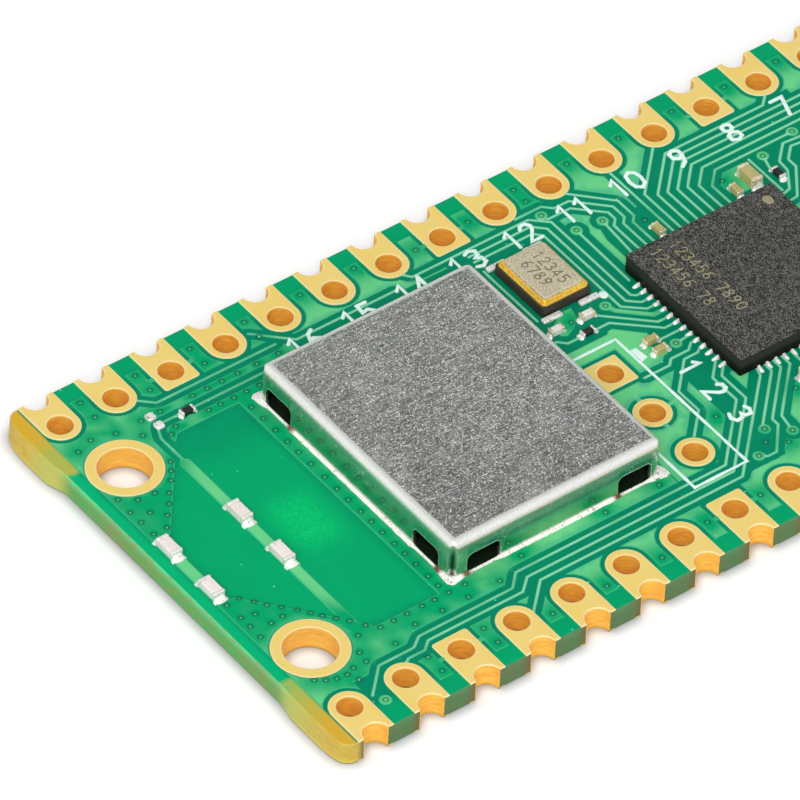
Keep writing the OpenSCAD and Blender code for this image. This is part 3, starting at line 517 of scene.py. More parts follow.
# Nickel lid, lapped and plated: warm grey with a soft grain
lidMetal = finish("nickel_lid_lapped", "#B8AE91", "#EBE1C2", 0.075, (0.38, 0.55), depth=0.006,
                  settings={"Metallic": 0.4})
# Gold-plated seal ring: yellow and smooth, with a broken gleam
sealGold = finish("gold_plated_seal_ring", "#F0B932", "#FFDF6A", 0.1, (0.25, 0.4), depth=0.004,
                  settings={"Metallic": 0.5})
# Fired ceramics: a dry, faintly speckled face, brown, tan, white or rose
brownCeramic = finish("brown_alumina_fired", "#2B221F", "#44382F", 0.07, (0.45, 0.65), depth=0.008)
tanCeramic = finish("tan_titanate_ceramic_fired", "#A9A05E", "#C0B67C", 0.07, (0.35, 0.55), depth=0.005)
paleCeramic = finish("white_alumina_fired", "#DDD8D2", "#F1ECE8", 0.08, (0.35, 0.55), depth=0.005)
pinkCeramic = finish("rose_white_ceramic_fired", "#E6D8D4", "#F7EEEB", 0.08, (0.35, 0.5), depth=0.005)
# Tin-plated ends: satin white with grey wear, cream where flux has stained them
tinned = finish("tin_plated_termination", "#F4F1EC", "#BDB6AA", 0.09, (0.25, 0.45), depth=0.006,
                settings={"Metallic": 0.3}, bite=(0.5, 0.75))
creamEnds = finish("tin_plated_end_flux_stained", "#EFE3C6", "#C9AE72", 0.11, (0.25, 0.45), depth=0.006,
                   settings={"Metallic": 0.25}, bite=(0.48, 0.75))
# Glazed resistor film: black with a wet gleam; pressed iron powder: dull grey and gritty
blackGlaze = finish("black_glazed_resistor", "#131314", "#2C2C2E", 0.06, (0.25, 0.45), depth=0.004)
ferrite = finish("pressed_iron_powder", "#3C3D40", "#5A5B5E", 0.06, (0.55, 0.8), depth=0.012)
# Drawn and stamped sheet: bright metal with fine lines along the way it was worked
socketSteel = finish("nickel_plated_sheet_drawn", "#B4B6B8", "#D4D6D8", 0.06, (0.22, 0.38), stretch=(1, 9, 1),
                     depth=0.003, settings={"Metallic": 1.0})
buttonSteel = finish("stainless_cover_stamped", "#B9BABC", "#DADBDC", 0.05, (0.25, 0.42), stretch=(8, 1, 1),
                     depth=0.003, settings={"Metallic": 1.0})
# Nylon and acetal, moulded: glass-filled black with a matte grain, ivory with a waxy gleam
socketMould = finish("glass_filled_nylon_moulded", "#18181A", "#2C2C2E", 0.08, (0.45, 0.7), depth=0.006)
ivory = finish("ivory_acetal_moulded", "#E4DCC4", "#F1EBD8", 0.12, (0.35, 0.5), depth=0.004)
# Gold-plated contacts: polished yellow metal; cast epoxy lens: clear and wet
contactGold = finish("gold_plated_contact", "#D8A63C", "#F0C868", 0.06, (0.25, 0.4),
                     settings={"Metallic": 1.0})
lensEpoxy = finish("clear_epoxy_cast", "#D9E4C4", "#EEF3DE", 0.1, (0.08, 0.16),
                   settings={"Transmission Weight": 0.6})
# Screened ink: chalk white, thin enough to show some green; laser marks: dry pale epoxy, darkened nickel
whiteInk = finish("white_epoxy_ink_screened", "#CFF3E6", "#F2FFFB", 0.1, (0.45, 0.6), depth=0.006)
laserMark = finish("laser_marked_epoxy", "#857E5E", "#ACA480", 0.05, (0.6, 0.8))
darkMark = finish("laser_marked_nickel", "#6A5E50", "#82766A", 0.05, (0.5, 0.7))
print("materials made")


# The board

east, west = 1, -1
halfWidth, halfLength, boardTop = boxOf("wiring_board")[1]
eastPads = solidBoxes("right_edge_pads")
pinYs = np.sort(eastPads.mean(1)[:, 1])
padHalf = (eastPads[0, 1, 1] - eastPads[0, 0, 1]) / 2
rowX = eastPads[0, 0, 0] + padHalf
mountSpots = solidBoxes("mounting_hole_plating").mean(1)[:, :2]
debugSpots = solidBoxes("debug_pads").mean(1)[:, :2]
debugSpots = debugSpots[np.argsort(debugSpots[:, 0])]
canLow, canHigh = boxOf("shield_can")
canMiddle, canHalf = (canLow + canHigh)[:2] / 2, (canHigh - canLow)[:2] / 2

plating = {"pinHole": 0.5, "mountHole": 1.05, "halfHole": 0.53, "wall": 0.03, "squareFirst": 2,
           "squareEvery": 5, "mountRing": 1.5, "debugHalf": 0.76, "top": boardTop + 0.02, "round": 0.04,
           "plate": 0.035, "mountBore": 0.8, "halfBore": 0.9}
board = {"corner": 0.5, "bare": boardTop - 0.015, "rise": 0.03, "shoulder": 0.04, "rim": 0.1, "gap": 0.2,
         "padGap": 0.15, "edgeRound": 0.05, "trackHalf": 0.075, "wideHalf": 0.13, "spokeHalf": 0.12,
         "viaHalf": 0.27, "tabFrom": 6.5, "tabEnd": 25.0, "tabBlur": (0.12, 0.04), "under": 0.012,
         "grid": 0.38, "bulgeWest": 0.3, "bulgeEast": 0.17, "viaDepth": 0.035, "viaLip": 0.012,
         "viaPit": 0.14, "lipAt": 0.17, "lipHalf": 0.06, "haloReach": 0.68, "glowAt": (0.3, -19.7),
         "glowHalf": (1.5, 1.0)}
squarePin = np.arange(len(pinYs)) % plating["squareEvery"] == plating["squareFirst"]


def boardOutline():
    # rounded rectangle with a half hole of the laminate's radius at each pin of both long edges
    between = [(0, y) for y in (0.75, 0.95, 1.27, 1.59, 1.79)]
    bite = np.vstack([arc((0, 0), plating["halfHole"] + plating["wall"], -90, 90, 13) * (-1, 1), between])
    pins = np.stack([np.full(len(pinYs), halfWidth), pinYs], 1)
    long = (bite[None] + pins[:, None]).reshape(-1, 2)[:-len(between)]
    inX, inY, r = halfWidth - board["corner"], halfLength - board["corner"], board["corner"]
    steps = np.concatenate([np.linspace(board["tabFrom"] - 0.3, board["tabFrom"] + 1.2, 9), (8.4, 9.0, 9.6)])
    south = np.stack([np.concatenate([-steps[::-1], steps]), np.full(2 * len(steps), -halfLength)], 1)
    return np.concatenate([south, arc((inX, -inY), r, -90, 0, 7), long, arc((inX, inY), r, 0, 90, 7),
                           long[::-1] * (-1, 1), arc((-inX, -inY), r, 180, 270, 7)])


def tabGreen(x):
    # green creeps into the bare corners from the mask: most where each tab starts, none at its corner
    return np.where(x > 0, np.clip((9.3 - x) / 2.6, 0, 1), 0.65 * np.clip((9.0 + x) / 1.2, 0, 1))


def tabBulge(points):
    # the corners were broken from the panel: beyond the south edge the laminate bulges out, more towards its
    # foot, rising from nothing over the first millimetre of the tab and falling away again round the corner
    x, y, z = points.T
    out = np.where(x < 0, board["bulgeWest"], board["bulgeEast"])
    share = smooth((np.abs(x) - board["tabFrom"]) / 1.1) * smooth((halfWidth + 0.1 - np.abs(x)) / 1.4)
    share = share * smooth((-y - board["tabEnd"] - 0.1) / 0.35) * (1 - 0.7 * np.clip(z / boardTop, 0, 1))
    return np.stack([x, y - out * share, z], 1)


# Copper under the mask, in millimetres: tracks by their bends, first those that are alike on both sides
fanTracks = [
    [(3.4, 3.4), (5.6, 3.4), (6.33, 4.13), (6.33, 9.2)],
    [(3.4, 2.6), (5.9, 2.6), (7.05, 3.75), (7.05, 12.9), (8.2, 13.97)],
    [(3.4, 2.2), (6.0, 2.2), (7.4, 3.6), (7.4, 10.5), (8.2, 11.3)],
    [(3.4, 1.8), (6.1, 1.8), (7.75, 3.45), (7.75, 8.2), (8.3, 8.8)],
    [(3.4, 1.4), (6.4, 1.4), (8.3, 3.3)],
]
tracks = [[(side * x, y) for x, y in track] for side in (west, east) for track in fanTracks] + [
    [(6.87, -5.2), (6.87, -15.0), (7.46, -15.6), (7.46, -19.9), (7.82, -20.4), (7.82, -22.0), (8.9, -23.1)],
    [(7.3, -5.15), (7.3, -14.8), (7.82, -15.4), (7.82, -19.75), (8.15, -20.15), (8.15, -20.9), (8.4, -21.3)],
    [(7.7, -5.05), (7.7, -14.5), (8.85, -15.7)],
    [(3.4, 0.6), (4.2, 0.6), (4.6, 0.15), (4.95, 0.1)],
    [(3.4, 0.15), (4.0, 0.15), (6.0, -1.85), (6.85, -2.0)],
    [(3.4, -0.25), (3.95, -0.25), (5.95, -2.25), (6.3, -2.25), (7.4, -3.2), (7.4, -3.6), (7.2, -3.88)],
    [(3.4, -0.65), (3.9, -0.65), (6.05, -2.8), (6.2, -2.82)],
    [(3.4, -1.0), (3.85, -1.15), (7.7, -5.05)],
    [(2.6, -1.7), (2.6, -1.9), (3.05, -2.35), (4.5, -2.35), (7.3, -5.15)],
    [(2.2, -1.7), (2.2, -1.95), (2.95, -2.7), (4.37, -2.7), (6.87, -5.2)],
    [(1.4, -1.7), (1.4, -2.1), (1.55, -2.3), (1.55, -2.95), (2.8, -4.2), (4.0, -4.2), (5.0, -5.2)],
    [(1.0, -1.7), (1.0, -2.2), (1.25, -2.5), (1.25, -3.35), (1.5, -3.6), (1.5, -4.8)],
    [(0.6, -1.7), (0.7, -2.67)],
    [(0.2, -1.7), (0.2, -3.3)],
    [(-0.2, -1.7), (-0.2, -2.5), (-1.6, -4.05), (-1.6, -4.7)],
    [(-1.6, -5.4), (-1.6, -6.0), (-1.9, -6.3), (-1.9, -7.2)],
    [(-0.6, -1.7), (-0.6, -2.5), (-2.2, -4.2)],
    [(-1.4, -1.7), (-1.4, -2.4), (-2.05, -3.15), (-6.8, -3.15), (-7.1, -3.45), (-7.1, -6.2)],
    [(-1.8, -1.7), (-1.8, -2.35), (-2.2, -2.8), (-7.0, -2.8), (-7.45, -3.25), (-7.45, -6.2)],
    [(-2.2, -1.7), (-2.2, -2.3), (-2.35, -2.45), (-7.2, -2.45), (-7.8, -3.1), (-7.8, -8.6), (-8.2, -8.9)],
    [(-3.0, -2.0), (-6.3, -1.95)],
    [(-3.4, 3.8), (-5.3, 3.8), (-5.95, 4.45), (-5.95, 8.2)],
    [(-3.4, 3.0), (-5.8, 3.0), (-6.7, 3.9), (-6.7, 15.3), (-8.0, 16.5)],
    [(-3.4, 1.05), (-8.2, 1.05)],
    [(-3.4, 0.1), (-5.45, 0.1), (-5.7, 0.35), (-6.7, 0.35), (-8.2, -1.1)],
    [(-3.4, -0.25), (-5.6, -0.25), (-5.85, 0.0), (-6.55, 0.0), (-7.75, -1.2), (-7.75, -1.9), (-8.1, -2.25),
     (-8.1, -3.5)],
    [(-3.4, -0.62), (-5.7, -0.62), (-5.95, -0.35), (-6.4, -0.35), (-7.4, -1.4), (-7.4, -2.5)],
    [(-3.4, -1.03), (-6.15, -0.82)],
    [(-7.57, -9.6), (-7.57, -14.2), (-8.85, -15.5)],
    [(-7.82, -15.0), (-7.82, -20.5), (-8.3, -21.0)],
    [(-6.85, -16.2), (-6.85, -19.7)],
    [(-6.85, -20.1), (-6.85, -21.1), (-6.6, -21.3), (-6.2, -21.48), (-4.8, -21.48)],
    [(-6.5, -6.21), (-3.2, -6.21)],
    [(-5.66, 5.85), (-3.6, 5.85)],
    [(-5.52, 6.43), (-4.75, 6.2)],
    [(-5.5, 9.3), (-5.64, 7.5), (-4.92, 6.76), (-4.36, 6.71), (-3.5, 6.12), (-3.3, 5.3)],
    [(-5.15, 9.3), (-5.35, 7.66), (-4.82, 7.11), (-4.35, 7.11), (-3.0, 6.1), (-2.95, 5.3)],
    [(3.4, 3.0), (5.8, 3.0), (6.7, 3.9), (6.7, 10.6)],
] + [[(x, 5.0), (x, 6.8)] for x in (0.2, 0.6, 1.0, 1.4, 1.8)]
wideTracks = [[(-1.0, -1.7), (-1.0, -2.4), (-2.0, -3.45), (-2.4, -3.6)], [(0.0, 8.5), (0.0, 11.0)]]
# filled copper by its outlines, and what is cleared from it
pours = [
    [(-9.68, -25.0), (9.72, -25.0), (9.72, -6.0), (6.6, -6.0), (6.6, -7.2), (-9.68, -7.2)],
    [(-0.35, -3.2), (-1.3, -4.15), (-1.3, -4.38), (-1.17, -4.5), (-1.17, -7.2), (6.6, -7.2), (6.6, -5.3),
     (4.9, -3.55), (1.25, -3.55), (0.9, -3.2)],
    [(5.0, 0.9), (9.72, 0.9), (9.72, -6.0), (8.0, -6.0), (7.65, -4.5), (7.65, -3.0), (7.2, -2.75),
     (7.0, -2.35), (7.1, -1.75), (6.5, -1.55), (6.1, -1.55), (4.75, -0.2)],
    [(3.45, -1.35), (4.2, -2.05), (2.9, -2.05)],
    [(-3.7, -1.65), (-5.9, -1.65), (-6.5, -1.2), (-6.4, -1.0), (-5.2, -1.3), (-3.7, -1.3)],
    [(-9.68, -7.3), (-7.9, -7.3), (-7.9, -3.0), (-6.0, -3.0), (-6.0, 3.2), (-7.9, 3.2), (-7.9, 5.6),
     (-9.68, 5.6)],
    [(-3.1, -4.7), (-2.5, -4.85), (-2.1, -5.3), (-1.9, -5.75), (-2.05, -6.0), (-2.6, -6.0), (-3.1, -5.2)],
    [(-5.7, 5.65), (-5.78, 4.5), (-5.25, 4.05), (-4.6, 4.1), (-4.3, 4.4), (-4.3, 5.65)],
    [(-9.68, 5.5), (-7.95, 5.5), (-7.95, 9.5), (-3.0, 9.5), (-3.0, 5.5), (9.72, 5.5), (9.72, 24.9),
     (-9.68, 24.9)],
    [(7.9, 0.9), (9.72, 0.9), (9.72, 5.6), (7.9, 5.6)],
]
antennaWindow = [(6.12, -18.02), (-6.05, -18.02), (-6.05, -20.8), (-5.68, -21.15), (-5.9, -21.25),
                 (-5.9, -21.7), (-4.95, -21.75), (-4.8, -21.85), (-1.9, -24.2), (-1.9, -24.45), (2.0, -24.45),
                 (2.0, -24.2), (5.9, -21.0), (6.12, -20.9)]
clearings = [antennaWindow, [(8.0, -23.25), (10.0, -23.25), (10.0, -22.4), (8.0, -22.4)],
             [(-7.4, -14.5), (-6.3, -14.5), (-6.3, -6.3), (-7.4, -6.3)]]
strips = [[(-4.95, -21.5), (-4.69, -21.76), (5.35, -21.76), (5.6, -21.24), (-4.69, -21.24)],
          [(-1.1, -24.98), (1.1, -24.98), (1.1, -24.46), (-1.1, -24.46)]]
loneVias = [(6.85, -2.0), (6.2, -2.82), (7.2, -3.88), (0.7, -2.67), (-6.15, -0.82), (-6.3, -1.95),
            (-7.7, -2.55), (-2.4, -3.6), (9.35, -22.85), (-5.52, 6.43), (-5.95, 8.2), (-6.33, 9.2),
            (6.33, 9.2), (6.7, 10.6)]
# vias in rows along the board, rows across it, and singly
columnsOfVias = {-7.36: (-15.2, -16.2, -17.1, -17.83, -18.5, -19.18, -20.67, -21.55, -22.7),
                 -6.4: (-16.8, -17.4, -17.98, -18.6, -19.15, -20.66),
                 6.3: (-7.87, -10.38, -14.3, -16.9, -17.65, -18.3, -18.87, -19.55, -20.17, -20.77),
                 6.9: (-15.75, -17.2, -18.4, -19.63),
                 -9.43: (-15.25, -17.78, -20.3, -22.83, -10.12, -12.65),
                 -8.5: (-15.25, -17.78, -20.3, -22.83), 9.35: (-10.13, -12.7, -15.2, -17.73, -20.28),
                 8.5: (-17.73, -20.28), 8.85: (-7.62, -5.12), -9.42: (-2.55, 0.0, 2.5),
                 -9.4: pinYs[12:-1] + 1.27, 9.4: pinYs[12:-1] + 1.27}
rowsOfVias = {-17.75: (-5.62, -4.88, -4.12, -3.38, -2.7, -1.95, -1.1, -0.35, 0.35, 1.1, 1.75, 2.43, 3.15,
                       3.78, 4.45, 5.2, 5.8), 12.3: (-2.0, 0.0, 2.0), 19.4: (-4.0, -2.0, 3.0, 5.0)}
vias = [(x, y) for x, ys in columnsOfVias.items() for y in ys]
vias += [(x, y) for y, xs in rowsOfVias.items() for x in xs] + [
    (-7.6, -23.68), (-7.35, -24.42), (-6.15, -21.05), (-6.7, -21.95), (-5.0, -21.92), (-4.6, -22.2),
    (-4.2, -22.5), (-3.7, -22.95), (-3.25, -23.28), (-2.8, -23.68), (-2.3, -24.08), (-4.0, -23.38),
    (-4.08, -24.1), (-3.28, -24.13), (-4.5, -24.7), (-3.7, -24.72), (-3.05, -24.7), (-2.3, -24.68),
    (5.4, -21.5), (5.0, -21.8), (4.6, -22.15), (4.25, -22.4), (3.85, -22.7), (3.4, -23.1), (3.0, -23.47),
    (2.6, -23.75), (2.15, -24.1), (3.15, -24.1), (3.85, -23.9), (3.8, -23.35), (2.2, -24.68), (3.0, -24.65),
    (3.55, -24.63), (4.2, -24.65), (5.9, -21.15), (6.9, -22.18), (7.4, -22.25), (7.39, -22.83),
    (7.08, -24.37), (7.32, -24.02), (7.48, -23.65), (7.54, -23.21), (7.98, -23.01), (6.17, -21.69),
    (7.28, -20.82), (-8.9, -7.6), (-9.0, -5.05), (-8.65, -2.55), (-9.45, 5.1), (7.25, -2.5), (6.75, -3.2),
    (4.65, -3.88), (5.15, -0.5), (-5.3, 4.28), (-5.3, 0.55), (-2.42, -5.2)]
allVias = vias + loneVias


def barField(points, bars, half):
    # distance to the nearest round-ended bar: to the foot of the perpendicular, held between its ends, less
    # the half width
    nearest = np.full(len(points), 9.0)
    for bar in bars:
        bar = np.array(bar)
        for start, along in zip(bar[:-1], np.diff(bar, axis=0)):
            share = np.clip((points - start) @ along / max(along @ along, 1e-9), 0, 1)
            away = np.linalg.norm(points - start - share[:, None] * along, axis=1)
            nearest = np.minimum(nearest, away - half)
    return nearest


def outlineField(points, outline):
    # distance to a closed outline's edge, negative inside, where a ray crosses it an odd number of times
    outline = np.array(outline)
    nearest = barField(points, [np.vstack([outline, outline[:1]])], 0)
    inside = np.zeros(len(points), bool)
    for start, stop in zip(outline, np.roll(outline, -1, 0)):
        spans = (start[1] > points[:, 1]) != (stop[1] > points[:, 1])
        run, rise = stop - start
        rise = rise if abs(rise) > 1e-9 else 1e-9
        cross = start[0] + (points[:, 1] - start[1]) / rise * run
        inside ^= spans & (points[:, 0] < cross)
    return np.where(inside, -nearest, nearest)


def spotField(points, spots):
    # distance to the nearest of a set of spots
    nearest = np.full(len(points), 9.0)
    for spot in spots:
        nearest = np.minimum(nearest, np.hypot(points[:, 0] - spot[0], points[:, 1] - spot[1]))
    return nearest


def squareOutline(x, y, half, side=0):
    # square pad's outline, carried out past the board's edge on the given side
    low, high = (x - half if side >= 0 else x - 3), (x + half if side <= 0 else x + 3)
    return [(low, y - half), (high, y - half), (high, y + half), (low, y + half)]


squarePads = [squareOutline(side * rowX, y, padHalf, side) for side in (east, west) for y in pinYs[squarePin]]
squarePads.append(squareOutline(*debugSpots[0], plating["debugHalf"]))
roundBars = [[(side * rowX, y), (side * (halfWidth + 1), y)] for side in (east, west)
             for y in pinYs[~squarePin]]
spokes = [[(side * rowX, y + s * (padHalf - 0.1)), (side * rowX, y + s * (padHalf + 0.3))]
          for side in (east, west) for y in pinYs[squarePin] for s in (-1, 1)]
spokes += [[debugSpots[1] + 0.6 * np.array(d), debugSpots[1] + 1.15 * np.array(d)]
           for d in ((1, 0), (-1, 0), (0, 1), (0, -1))]


def padField(points):
    # distance to the nearest bare pad: round-ended bars, squares and rings
    nearest = [barField(points, roundBars, padHalf), spotField(points, debugSpots[1:]) - plating["debugHalf"],
               spotField(points, mountSpots) - plating["mountRing"] + board["padGap"] - 0.02]
    for outline in squarePads:
        nearest.append(np.maximum(np.min(outline, 0) - points, points - np.max(outline, 0)).max(1))
    return np.min(nearest, 0)


def copperField(points):
    # distance to the masked copper, negative inside: tracks, vias, strips, and pours less their clearances
    lines = np.min([barField(points, tracks, board["trackHalf"]),
                    barField(points, wideTracks, board["wideHalf"]),
                    spotField(points, loneVias) - board["viaHalf"]], 0)
    pour = np.min([outlineField(points, outline) for outline in pours], 0)
    keepOut = [-outlineField(points, outline) for outline in clearings]
    pour = np.max([pour, board["gap"] - lines, board["padGap"] - padField(points)] + keepOut, 0)
    strip = np.min([outlineField(points, outline) for outline in strips], 0)
    return np.min([lines, pour, strip, barField(points, spokes, board["spokeHalf"])], 0)


def barOutline(bar, half, caps=5):
    # outline of a round-ended bar: its bends moved to either side, with a half circle round each end
    bar = np.array(bar, float)
    side, first, last = openSides(bar)
    startTurn, endTurn = (math.degrees(math.atan2(-ahead[0], ahead[1])) for ahead in (first, last))
    return np.vstack([bar[1:-1] + half * side[1:-1], arc(bar[-1], half, endTurn, endTurn + 180, caps),
                      (bar[1:-1] - half * side[1:-1])[::-1],
                      arc(bar[0], half, startTurn + 180, startTurn + 360, caps)])


def grown(outline, distance):
    # closed outline moved outwards by a distance, whichever way round it runs
    outline = np.array(outline, float)
    turned = np.roll(outline, -1, 0)
    if (outline[:, 0] * turned[:, 1] - turned[:, 0] * outline[:, 1]).sum() < 0:
        outline = outline[::-1]
    return outline + distance * sideways(outline)


def boardLoops():
    # every line along which the mask's surface bends, so that the triangles follow it
    step, gap, padGap, rim = (board[k] for k in ("shoulder", "gap", "padGap", "rim"))
    beside, inward, outward = (0, -step, gap, gap + step), (0, -step, -rim), (0, step, rim)
    loops = [barOutline(bar, half + grow)
             for bars, half in ((tracks, board["trackHalf"]), (wideTracks, board["wideHalf"]))
             for bar in bars for grow in beside]
    loops += [grown(outline, grow)
              for outlines, grows in ((pours, inward), (clearings, outward), (strips, inward))
              for outline in outlines for grow in grows]
    loops += [barOutline(bar, padHalf + padGap + grow, 13) for bar in roundBars for grow in outward]
    loops += [grown(outline, padGap + grow) for outline in squarePads for grow in outward]
    loops += [barOutline(bar, board["spokeHalf"] + grow, 3) for bar in spokes for grow in (0, -step)]
    loops += [circle(spot, plating["debugHalf"] + padGap + grow, 24) for spot in debugSpots[1:]
              for grow in (0, step)]
    loops += [circle(spot, plating["mountRing"] + grow, 36) for spot in mountSpots for grow in (0.0, 0.06)]
    loops += [circle(spot, radius, count) for spot in allVias
              for radius, count in ((0.04, 6), (0.085, 10), (0.13, 10), (0.2, 10))]
    loops += [circle(spot, board["viaHalf"] + grow, 12) for spot in loneVias for grow in beside]
    loops += [canMiddle + (canHalf - inset) * [(1, -1), (1, 1), (-1, 1), (-1, -1)] for inset in (0.0, 0.08)]
    for side in (east, west):
        for sign in (-1, 1):
            x = side * (board["tabFrom"] + sign * board["tabBlur"][0])
            y = -board["tabEnd"] - sign * board["tabBlur"][1]
            loops.append([(x, -halfLength), (x, y), (side * (halfWidth - 0.1), y)])
    return [evenly(np.array(loop, float), board["grid"]) for loop in loops]


def holeLoops():
    # drilled holes of the laminate, under the plating
    pins = [(side * rowX, y) for side in (east, west) for y in pinYs] + [tuple(spot) for spot in debugSpots]
    return [circle(spot, plating["pinHole"] + plating["wall"], 24) for spot in pins] + [
        circle(spot, plating["mountHole"] + plating["wall"], 36) for spot in mountSpots]


def triangulate(loops, extra):
    # triangles through every loop's points and edges, less those outside the first loop or in a drilled hole,
    # and the points that they use
    points = np.concatenate(loops + [extra])
    edges, start = [], 0
    for loop in loops:
        edges += [(start + k, start + (k + 1) % len(loop)) for k in range(len(loop))]
        start += len(loop)
    found = delaunay_2d_cdt([Vector(p) for p in points.tolist()], edges, [], 0, 0.003, False)
    flat = np.array([tuple(v) for v in found[0]])
    triangles = np.array([face for face in found[2] if len(face) == 3])
    middle = flat[triangles].mean(1)
    keep = outlineField(middle, loops[0]) < 0
    for hole in holeLoops():
        centre = hole.mean(0)
        keep &= np.hypot(*(middle - centre).T) > np.linalg.norm(hole[0] - centre) * 0.99
    used, triangles = np.unique(triangles[keep], return_inverse=True)
    return flat[used], triangles.reshape(-1, 3)


def boardPiece():
    # top: triangles through every bend line, raised over copper and sunk at each via by smooth steps; edge:
    # the outline carried down a profile of (inset, height); underside and drilled walls close the shell
    bare, r, foot = board["bare"], board["edgeRound"], board["under"]
    outline = boardOutline()
    rimLine = outline - r * sideways(outline)
    apart = board["grid"]
    grid = np.stack(np.meshgrid(np.arange(-10.2, 10.2, apart), np.arange(-25.2, 25.3, apart)), -1)
    grid[1::2, :, 0] += apart / 2
    grid = grid.reshape(-1, 2)
    room = np.min([np.abs(copperField(grid)) - 0.13, spotField(grid, allVias) - 0.3, padField(grid) - 0.3], 0)
    grid = np.vstack([grid[(room > 0) & (np.abs(grid[:, 0]) < 10.3)], allVias])
    flat, triangles = triangulate([rimLine] + boardLoops() + holeLoops(), grid)
    x, y = flat.T
    depth, viaAway = -copperField(flat), spotField(flat, allVias)
    topZ = bare + board["rise"] * smooth(depth / board["shoulder"])
    topZ -= board["viaDepth"] * smooth(1 - viaAway / board["viaPit"])
    topZ += board["viaLip"] * smooth(1 - np.abs(viaAway - board["lipAt"]) / board["lipHalf"])
    topZ[np.abs(outlineField(flat, rimLine)) < 0.002] = bare

    turn = np.radians(np.linspace(90, 0, 4))
    curve = np.stack([r * (1 - np.cos(turn)), r * np.sin(turn)], 1)
    profile = np.vstack([curve + (0, bare - r), [[0, 0.6], [0, 0.3], [0, foot + r]],
                         curve[::-1] * (1, -1) + (0, foot + r)])
    band = raised(outline - profile[:, :1, None] * sideways(outline), profile[:, 1:])
    under, underFaces = triangulate([rimLine] + holeLoops(), np.zeros((0, 2)))
    walls = [(raised(np.stack([loop, loop]), [[bare], [foot]]).reshape(-1, 3), [gridFaces(2, len(loop))])
             for loop in holeLoops()]
    points, faces = gather([(raised(flat, topZ), [triangles]),
                            (band.reshape(-1, 3), [gridFaces(len(profile), len(outline))]),
                            (raised(under, foot), [underFaces])] + walls)

    def spread(top=0.0, edge=0.0):
        # a mark over the top and along the edge, and none elsewhere
        onEdge = np.broadcast_to(edge, band.shape[:2]).ravel()
        rest = np.zeros(len(points) - len(flat) - len(onEdge))
        return np.concatenate([np.broadcast_to(top, len(flat)), onEdge, rest])

    edgeX, edgeY = outline.T
    blur, drop = board["tabBlur"]
    tabShare = smooth((np.abs(x) - board["tabFrom"] + blur) / (2 * blur))
    tabShare = tabShare * smooth((-y - board["tabEnd"] + drop) / (2 * drop))
    edgeTab = smooth((np.abs(edgeX) - board["tabFrom"] + 0.3) / 1.0) * (edgeY < -board["tabEnd"] + 0.1)
    southStrip = outlineField(flat, [(-7.5, -26), (7.5, -26), (7.5, -25.02), (-7.5, -25.02)])
    windowDepth = -np.minimum(outlineField(flat, antennaWindow), southStrip)
    westEnd = 1 - 0.45 * smooth((-3.4 - x) / 2.2)
    edgeLit = smooth((np.abs(x) - 9.1) / 0.8) * (y > -halfLength + 1)
    onTrack = barField(flat, tracks, board["trackHalf"])
    underCan = np.max(np.abs(flat - canMiddle) - canHalf, 1)
    # the long edges are duller, and browner beside each half hole, more on its south side
    offset = edgeY[:, None] - pinYs
    offset = offset[np.arange(len(offset)), np.abs(offset).argmin(1)]
    onLong = smooth((np.abs(edgeX) - halfWidth + 0.4) / 0.3)
    marks = {
        "inset": spread(np.clip(depth / board["rim"], 0, 1)),
        "halo": spread(np.minimum(1, 1.35 * np.exp(-(spotField(flat, vias) / board["haloReach"]) ** 2))),
        # painted light: near the long edges the mask is lighter, as light let in through the laminate's edge
        "window": spread(np.maximum(westEnd * smooth(windowDepth / 0.25 + 0.5), 0.8 * edgeLit), 0.8),
        # painted glow in the antenna window
        "glow": spread(np.exp(-(((flat - board["glowAt"]) / board["glowHalf"]) ** 4).sum(1))),
        "strip": spread(smooth(0.5 - southStrip / 0.1), edgeY < -board["tabEnd"]),
        # painted shade in a ring in each via's dimple, and a painted highlight dot at its middle
        "pit": spread(0.85 * smooth(1.35 - np.abs(viaAway - 0.09) / 0.045)),
        "spark": spread(0.8 * smooth(1.2 - viaAway / 0.04)),
        # painted highlight line down the middle of each track
        "line": spread(smooth(1 - onTrack / 0.02)), "corner": spread(tabShare, edgeTab),
        # painted shade: the mask goes dark under the can
        "shade": spread(smooth(-underCan / 0.08)), "green": tabGreen(points[:, 0]),
        "long": spread(0, 0.8 * onLong),
        "scorch": spread(0, onLong * smooth((1.02 - np.abs(offset)) / 0.42)
                         * np.where(offset < 0, 0.85, 0.3))}
    points = np.column_stack([tabBulge(points), *marks.values()])
    piece = makePiece("board_laminate_and_mask", points, faces, [mask, laminate],
                      ("wiring_board", "antenna_strips"), "green_laminate", crease=12, marks=marks)
    sideLook(piece, 0.75, bare - 0.01)
    print("board made,", len(piece.data.polygons), "faces")


boardPiece()


# Gold pads: each is one shell, closed along its outline and its section; columns 3 and 4 mark rim and bore

def padOutline(square):
    # edge pad about its pin: along one side, round or square at the back, along the other, then round the
    # half hole; with it the point round the pin hole that each point is joined to, spread so that no line
    # crosses the half hole
    reach, half, r = halfWidth - rowX, padHalf, 0.12
    back = arc((0, 0), half, 90, 270, 17)
    if square:
        back = np.vstack([arc((r - half, half - r), r, 90, 180, 4),
                          arc((r - half, r - half), r, 180, 270, 4)])
    ends = np.array([(reach, plating["halfHole"] + 0.001), (reach, half), (reach * 0.55, half)])
    bite = arc((reach, 0), plating["halfHole"], 270, 90, 13)[1:-1]
    fan = arc((0, 0), 1, 75, 81, 3)
    spread = 76 / 90 * np.arctan2(bite[:, 1], reach - bite[:, 0])
    return (np.vstack([ends, back, ends[::-1] * (1, -1), bite]),
            np.vstack([fan, back / np.linalg.norm(back, axis=1)[:, None], fan[::-1] * (1, -1),
                       np.stack([np.cos(spread), np.sin(spread)], 1)]))


